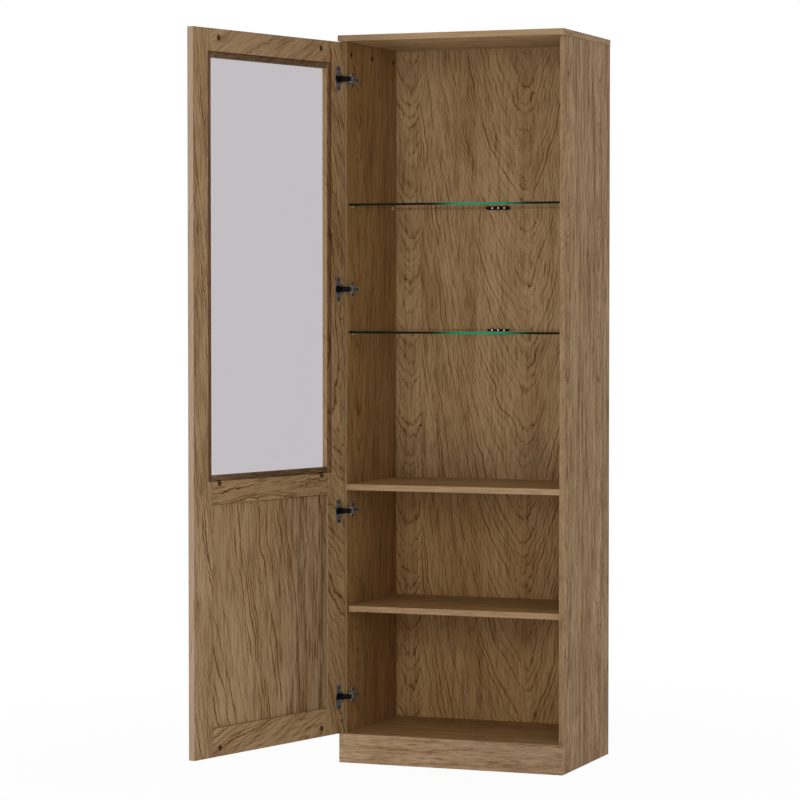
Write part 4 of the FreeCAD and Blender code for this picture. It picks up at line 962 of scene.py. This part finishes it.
def dress_case():
    # The back board: painted shade that deepens towards the fixed shelf, and painted light in the
    # low compartments.
    use(wood("back_decor", "xyz", seed=3.0, tip=0.085, contrast=0.9, tone=(0.94, 0.925, 0.875),
             foot=True, sweep=("z", 0.93, 0.78, 0.84), raw=("y", 1.0)), "back_panel")
    # The sides: painted shade on their inner faces and front edges, in the cams' bores and where
    # they meet the top board.
    use(wood("left_side_decor", "yxz", seed=5.0, tip=0.10, slope=2.5, scale=1.5, contrast=0.6,
             inner=("x", 1.0, LEFT_INNER_SHADE), band="y", band_tone=DIM_BAND_TONE,
             bores=side_bores(-1.0), seams=TOP_CORNER_SHADE), "left_side_panel")
    use(wood("right_side_decor", "yxz", seed=8.0, tip=0.31, slope=2.5, scale=0.8, contrast=0.6,
             stroke_share=0.5, stripe_share=0.45, streak_share=0.36,
             inner=("x", -1.0, INNER_SHADE), tone=(0.93, 0.92, 0.89), band="y",
             band_tone=SHADED_FRONT_BAND_TONE, bores=side_bores(1.0), seams=TOP_CORNER_SHADE),
        "right_side_panel")
    # The top board: painted light on its underside, and painted shade towards the open door on the
    # left.
    use(wood("top_decor", "yzx", seed=11.0, tip=-0.3, slope=3.0, contrast=0.5,
             inner=("z", -1.0, UNDER_TOP_LIGHT), tone=(0.97, 0.97, 0.97), band="y",
             sweep=("x", -0.13, -0.25, 0.78)), "top_panel")
    # Painted shade: the plinth darkens towards the right.
    use(wood("plinth_decor", "zyx", seed=14.0, tip=0.35, slope=12.0, contrast=0.4, scale=0.6,
             stroke_share=0.28, stripe_share=0.35, sweep=("x", -0.15, 0.32, 0.82),
             tone=(1.10, 1.17, 1.40)), "plinth_board")
    boards = {"bottom_panel": ("bottom_decor", 17.0), "fixed_shelf": ("fixed_shelf_decor", 20.0),
              "adjustable_shelf": ("adjustable_shelf_decor", 23.0)}
    # Painted shade on the upper faces of these boards, inside the case.
    for node, (name, seed) in boards.items():
        use(wood(name, "yzx", seed=seed, slope=3.0, contrast=0.5, inner=("z", 1.0, INNER_SHADE),
                 band="y"), node)


def dress_door_frame():
    # The hinge stile: painted light on its edges and on its wood behind the pane, and painted shade
    # on its shaded side faces.
    use(wood("hinge_stile_decor", "xyz", seed=31.0, tip=0.1, scale=1.4, lean=0.35, contrast=0.95,
             stroke_share=0.20, wiggle=2.0, tone=(0.87, 0.87, 0.86), closed=True, flip=True,
             band="x", band_tone=LIT_LIP_TONE, lip=STILE_LIP_LIGHT,
             inner=("x", -1.0, STILE_INNER_SHADE)), "door_hinge_stile")
    # The free stile: painted light on its edges, and painted shade on its wood behind the pane.
    use(wood("free_stile_decor", "xyz", seed=34.0, tip=-0.10, scale=1.3, contrast=0.9, slope=2.0,
             wiggle=1.4, tone=(0.93, 0.95, 1.0), closed=True, flip=True, band="x",
             band_tone=LIT_BAND_TONE, lip=FREE_STILE_LIP_SHADE), "door_free_stile")
    use(wood("top_rail_decor", "zyx", seed=37.0, scale=1.5, lean=0.48, contrast=1.0, bend=0.03,
             wiggle=1.9, tone=(0.86, 0.86, 0.90), closed=True, band="z", lip=PLAIN_LIP,
             bores=rail_bores(TOP_RAIL_CAMS)), "door_top_rail")
    use(wood("middle_rail_decor", "zyx", seed=40.0, scale=1.3, lean=0.1, contrast=1.0, bend=0.03,
             wiggle=2.2, tone=(0.90, 0.91, 0.95), closed=True, lip=PLAIN_LIP,
             bores=rail_bores(MIDDLE_RAIL_CAMS)), "door_middle_rail")
    use(wood("bottom_rail_decor", "zyx", seed=43.0, scale=1.4, lean=0.42, contrast=1.0, bend=0.03,
             wiggle=1.4, tone=(0.93, 0.94, 0.97), closed=True, band="z",
             bores=rail_bores(BOTTOM_RAIL_CAMS)), "door_bottom_rail")


def dress_lower_panel():
    # The cuts lie beyond the panel's edges, so that its pattern doesn't start again on it.
    # Painted shade: the panel darkens towards the hinge side, and in the grooves round it.
    use(wood("lower_panel_decor", "xyz", seed=46.0, tip=-0.46, cuts=(1.0, 1.0), scale=1.3,
             slope=0.36, bend=0.03, contrast=1.15, gap=1.7, stripe_share=0.34,
             streak_share=0.30, stroke_share=0.36, density=("x", 0.16, -0.16, 0.35, 1.35),
             tone=(0.98, 1.01, 1.09), closed=True, flip=True, upside=True,
             sweep=("x", 0.04, -0.235, 0.80), seams=PANEL_GROOVE_SHADE), "door_lower_panel")


def dress_dowels():
    use(wood("dowel_beech", "yxz", seed=50.0, scale=0.3, contrast=0.2, tone=(1.2, 1.2, 1.2)),
        "door_dowels", "carcass_dowels")


ARM_GREYS = (srgb(108, 108, 106), srgb(134, 134, 130))
ARM_GRAIN = (700.0, 90.0, 700.0)
ARM_ROUGH_RAMP = (0.2, 0.8, 0.34, 0.48)


def arm_steel():
    """The hinge arms: grey steel, brushed along the arm."""
    material, g, shader = new_material("hinge_arm_steel")
    place = g.place()
    grain = g.noise(place, ARM_GRAIN)
    patches = g.noise(place, METAL_PATCHES, detail=3.0)
    g.fill(shader, {
        "Base Color": g.mix(patches, *ARM_GREYS),
        "Metallic": 0.3,
        "Roughness": g.remap(patches, *ARM_ROUGH_RAMP),
        "Normal": g.bump(grain, strength=0.1, distance=0.0002)})
    return material


# Painted shade, black, in each hinge cup: an oval about a line of the closed door, the throat from
# it towards the door's edge, and the mouth in the bowl.
HINGE_LEVELS = (1.881, 1.3055, 0.696, 0.183)
OVAL_X = -0.3020
OVAL_HALVES = (0.0056, 0.0120)
THROAT_HALF = 0.0082
MOUTH_HALF = 0.0110
MOUTH_XS = (-0.3120, -0.2965)
# Nearer to the door's outer face than this, a cup's own bowl starts.
BOWL_FROM = 0.0042
CUP_GREYS = (srgb(88, 84, 82), srgb(118, 114, 110))
CUP_MOUTH_SHADES = (srgb(12, 12, 12), srgb(20, 19, 19))
# Painted light: the inside of the bowl is lighter than the plate.
BOWL_LIT_GREY = srgb(140, 136, 130)
CUP_DRAWN = (900.0, 900.0, 110.0)
CUP_ROUGH_RAMP = (0.2, 0.8, 0.32, 0.44)


def mouth_shade_share(g, x, up, in_bowl):
    """1 where shade is painted black in a cup: x is across the closed door, up is from the cup's
    middle.
    """
    reach_x = g.over(g.plus(x, -OVAL_X), OVAL_HALVES[0])
    reach_z = g.over(up, OVAL_HALVES[1])
    radius = g.times_plus(reach_x, reach_x, g.times(reach_z, reach_z))
    oval = g.below(radius, 1.0)
    throat = g.times(g.below(x, OVAL_X), g.below(up, THROAT_HALF))
    mouth = g.times(in_bowl, g.below(up, MOUTH_HALF))
    mouth = g.times(mouth, g.above(x, MOUTH_XS[0]))
    mouth = g.times(mouth, g.below(x, MOUTH_XS[1]))
    return g.larger(g.larger(oval, throat), mouth)


def cup_steel():
    """The hinge cups: gunmetal plates and bowls, with painted shade, black, round the mouth of the
    link, and painted light, a lighter grey, inside the bowl.
    """
    material, g, shader = new_material("hinge_cup_steel")
    place = g.place()
    patches = g.noise(place, METAL_PATCHES, detail=3.0)
    drawn = g.noise(place, CUP_DRAWN)
    x, y, z = g.split(closed_vector(g, place, "POINT"))
    in_bowl = g.below(y, BOWL_FROM)
    # Painted shade round the mouth, and painted light inside the bowl.
    black = mouth_shade_share(g, x, g.nearest(z, HINGE_LEVELS), in_bowl)
    grey = g.mix(in_bowl, g.mix(patches, *CUP_GREYS), BOWL_LIT_GREY)
    g.fill(shader, {
        "Base Color": g.mix(black, grey, g.mix(patches, *CUP_MOUTH_SHADES)),
        "Metallic": 0.4,
        "Roughness": g.remap(patches, *CUP_ROUGH_RAMP),
        "Normal": g.bump(drawn, strength=0.1, distance=0.0002)})
    return material


def dress_hinges():
    use(metal("hinge_plated", srgb(122, 124, 124), srgb(150, 152, 150), roughness=0.36, seed=2.0,
              metallic=0.4), "hinge_mounting_plates")
    use(metal("hinge_blackened", srgb(5, 5, 5), srgb(11, 10, 10), roughness=0.6, seed=3.0,
              metallic=0.0, shine=0.08), "hinge_links", "hinge_arm_pins", "hinge_cup_pins")
    use(metal("screw_dark", srgb(34, 33, 40), srgb(60, 56, 66), roughness=0.35, seed=5.0),
        "hinge_plate_screws", "hinge_arm_screws", "hinge_cup_screws")
    use(cup_steel(), "hinge_cups")
    use(arm_steel(), "hinge_arms")


def dress_fittings():
    use(metal("zinc", srgb(118, 120, 124), srgb(150, 152, 156), roughness=0.38, seed=1.0),
        "carcass_cam_bolts", "door_cam_bolts")
    use(plastic("pin_brown", srgb(150, 118, 76), srgb(164, 132, 90), roughness=0.5),
        "glass_shelf_pins", "adjustable_shelf_pins")
    # Painted shade: the case's cams are coloured near black, for the shade in their bores.
    use(plastic("cam_painted_shade", srgb(34, 22, 14), srgb(50, 34, 22), roughness=0.6, shine=0.05),
        "carcass_cam_locks")
    use(plastic("cam_cap", srgb(86, 60, 34), srgb(102, 74, 46), roughness=0.6, shine=0.05),
        "door_cam_locks")
    use(plastic("clip_black", srgb(18, 10, 5), srgb(30, 18, 10), roughness=0.6, shine=0.06),
        "light_clip_upper", "light_clip_lower")
    use(lens_plastic(), "light_clip_lenses")


# --- Floor, backdrop and light --------------------------------------------------------------------

FLOOR_HALF = 30.0
FLOOR_SEGMENTS = 8
FLOOR_TONES = (srgb(246, 246, 245), srgb(250, 250, 249))
FLOOR_MOTTLE = (3.0, 3.0, 3.0)
# The floor turns to the backdrop's white between these distances from the case.
WHITE_FROM, WHITE_FULL = 0.5, 3.0
WHITE_LEAST = 0.95
AMBIENT = 0.74
KEY_PLACE = (0.6, -7.0, 1.7)
KEY_AIM = (0.0, 0.0, 1.0)
KEY_SIZE = 4.0
KEY_POWER = 150.0


def seen_or_mirrored(graph):
    """1 on camera rays, on reflections and through glass; 0 on the rays that light the object."""
    path = graph.add("ShaderNodeLightPath").outputs
    seen = graph.larger(path["Is Camera Ray"], path["Is Glossy Ray"])
    return graph.larger(seen, path["Is Transmission Ray"])


def floor_material():
    """A pale floor that keeps the object's shadow, and is plain white further away."""
    material, g, shader = new_material("floor_pale")
    place = g.place()
    mottle = g.noise(place, FLOOR_MOTTLE, detail=3.0)
    g.fill(shader, {
        "Base Color": g.mix(mottle, *FLOOR_TONES),
        "Roughness": 0.8,
        "Specular IOR Level": 0.1})
    white = g.add("ShaderNodeEmission", {"Color": WHITE, "Strength": 1.0})
    away = g.add("ShaderNodeVectorMath", {0: place}, operation="LENGTH").outputs["Value"]
    share = g.remap(away, WHITE_FROM, WHITE_FULL, WHITE_LEAST, 1.0)
    share = g.times(share, seen_or_mirrored(g))
    both = g.add("ShaderNodeMixShader", {0: share, 1: shader.outputs[0], 2: white.outputs[0]})
    output = next(n for n in g.tree.nodes if n.bl_idname == "ShaderNodeOutputMaterial")
    g.tree.links.new(both.outputs[0], output.inputs[0])
    return material


def make_floor():
    mesh = bpy.data.meshes.new("floor")
    shape = bmesh.new()
    bmesh.ops.create_grid(shape, x_segments=FLOOR_SEGMENTS, y_segments=FLOOR_SEGMENTS,
                          size=FLOOR_HALF)
    shape.to_mesh(mesh)
    shape.free()
    mesh.materials.append(floor_material())
    floor = bpy.data.objects.new("floor", mesh)
    bpy.context.scene.collection.objects.link(floor)


def make_world():
    world = bpy.data.worlds.new("studio")
    world.use_nodes = True
    tree = world.node_tree
    tree.nodes.clear()
    g = Graph(tree)
    strength = g.remap(seen_or_mirrored(g), 0.0, 1.0, AMBIENT, 1.0, smooth=False)
    background = g.add("ShaderNodeBackground", {"Color": WHITE, "Strength": strength})
    output = g.add("ShaderNodeOutputWorld")
    tree.links.new(background.outputs[0], output.inputs[0])
    bpy.context.scene.world = world


def make_key_light():
    data = bpy.data.lights.new("key_front", "AREA")
    data.shape = "SQUARE"
    data.size = KEY_SIZE
    data.energy = KEY_POWER
    light = bpy.data.objects.new("key_front", data)
    light.location = KEY_PLACE
    direction = Vector(KEY_AIM) - Vector(KEY_PLACE)
    light.rotation_euler = direction.to_track_quat("-Z", "Y").to_euler()
    bpy.context.scene.collection.objects.link(light)


# --- Building the scene -----------------------------------------------------------------------

make_camera()
make_world()
make_floor()
make_key_light()
dress_case()
dress_door_frame()
dress_lower_panel()
dress_dowels()
dress_hinges()
dress_fittings()
make_glass_shelves()
make_door_pane()

bpy.context.scene.view_settings.view_transform = "Standard"
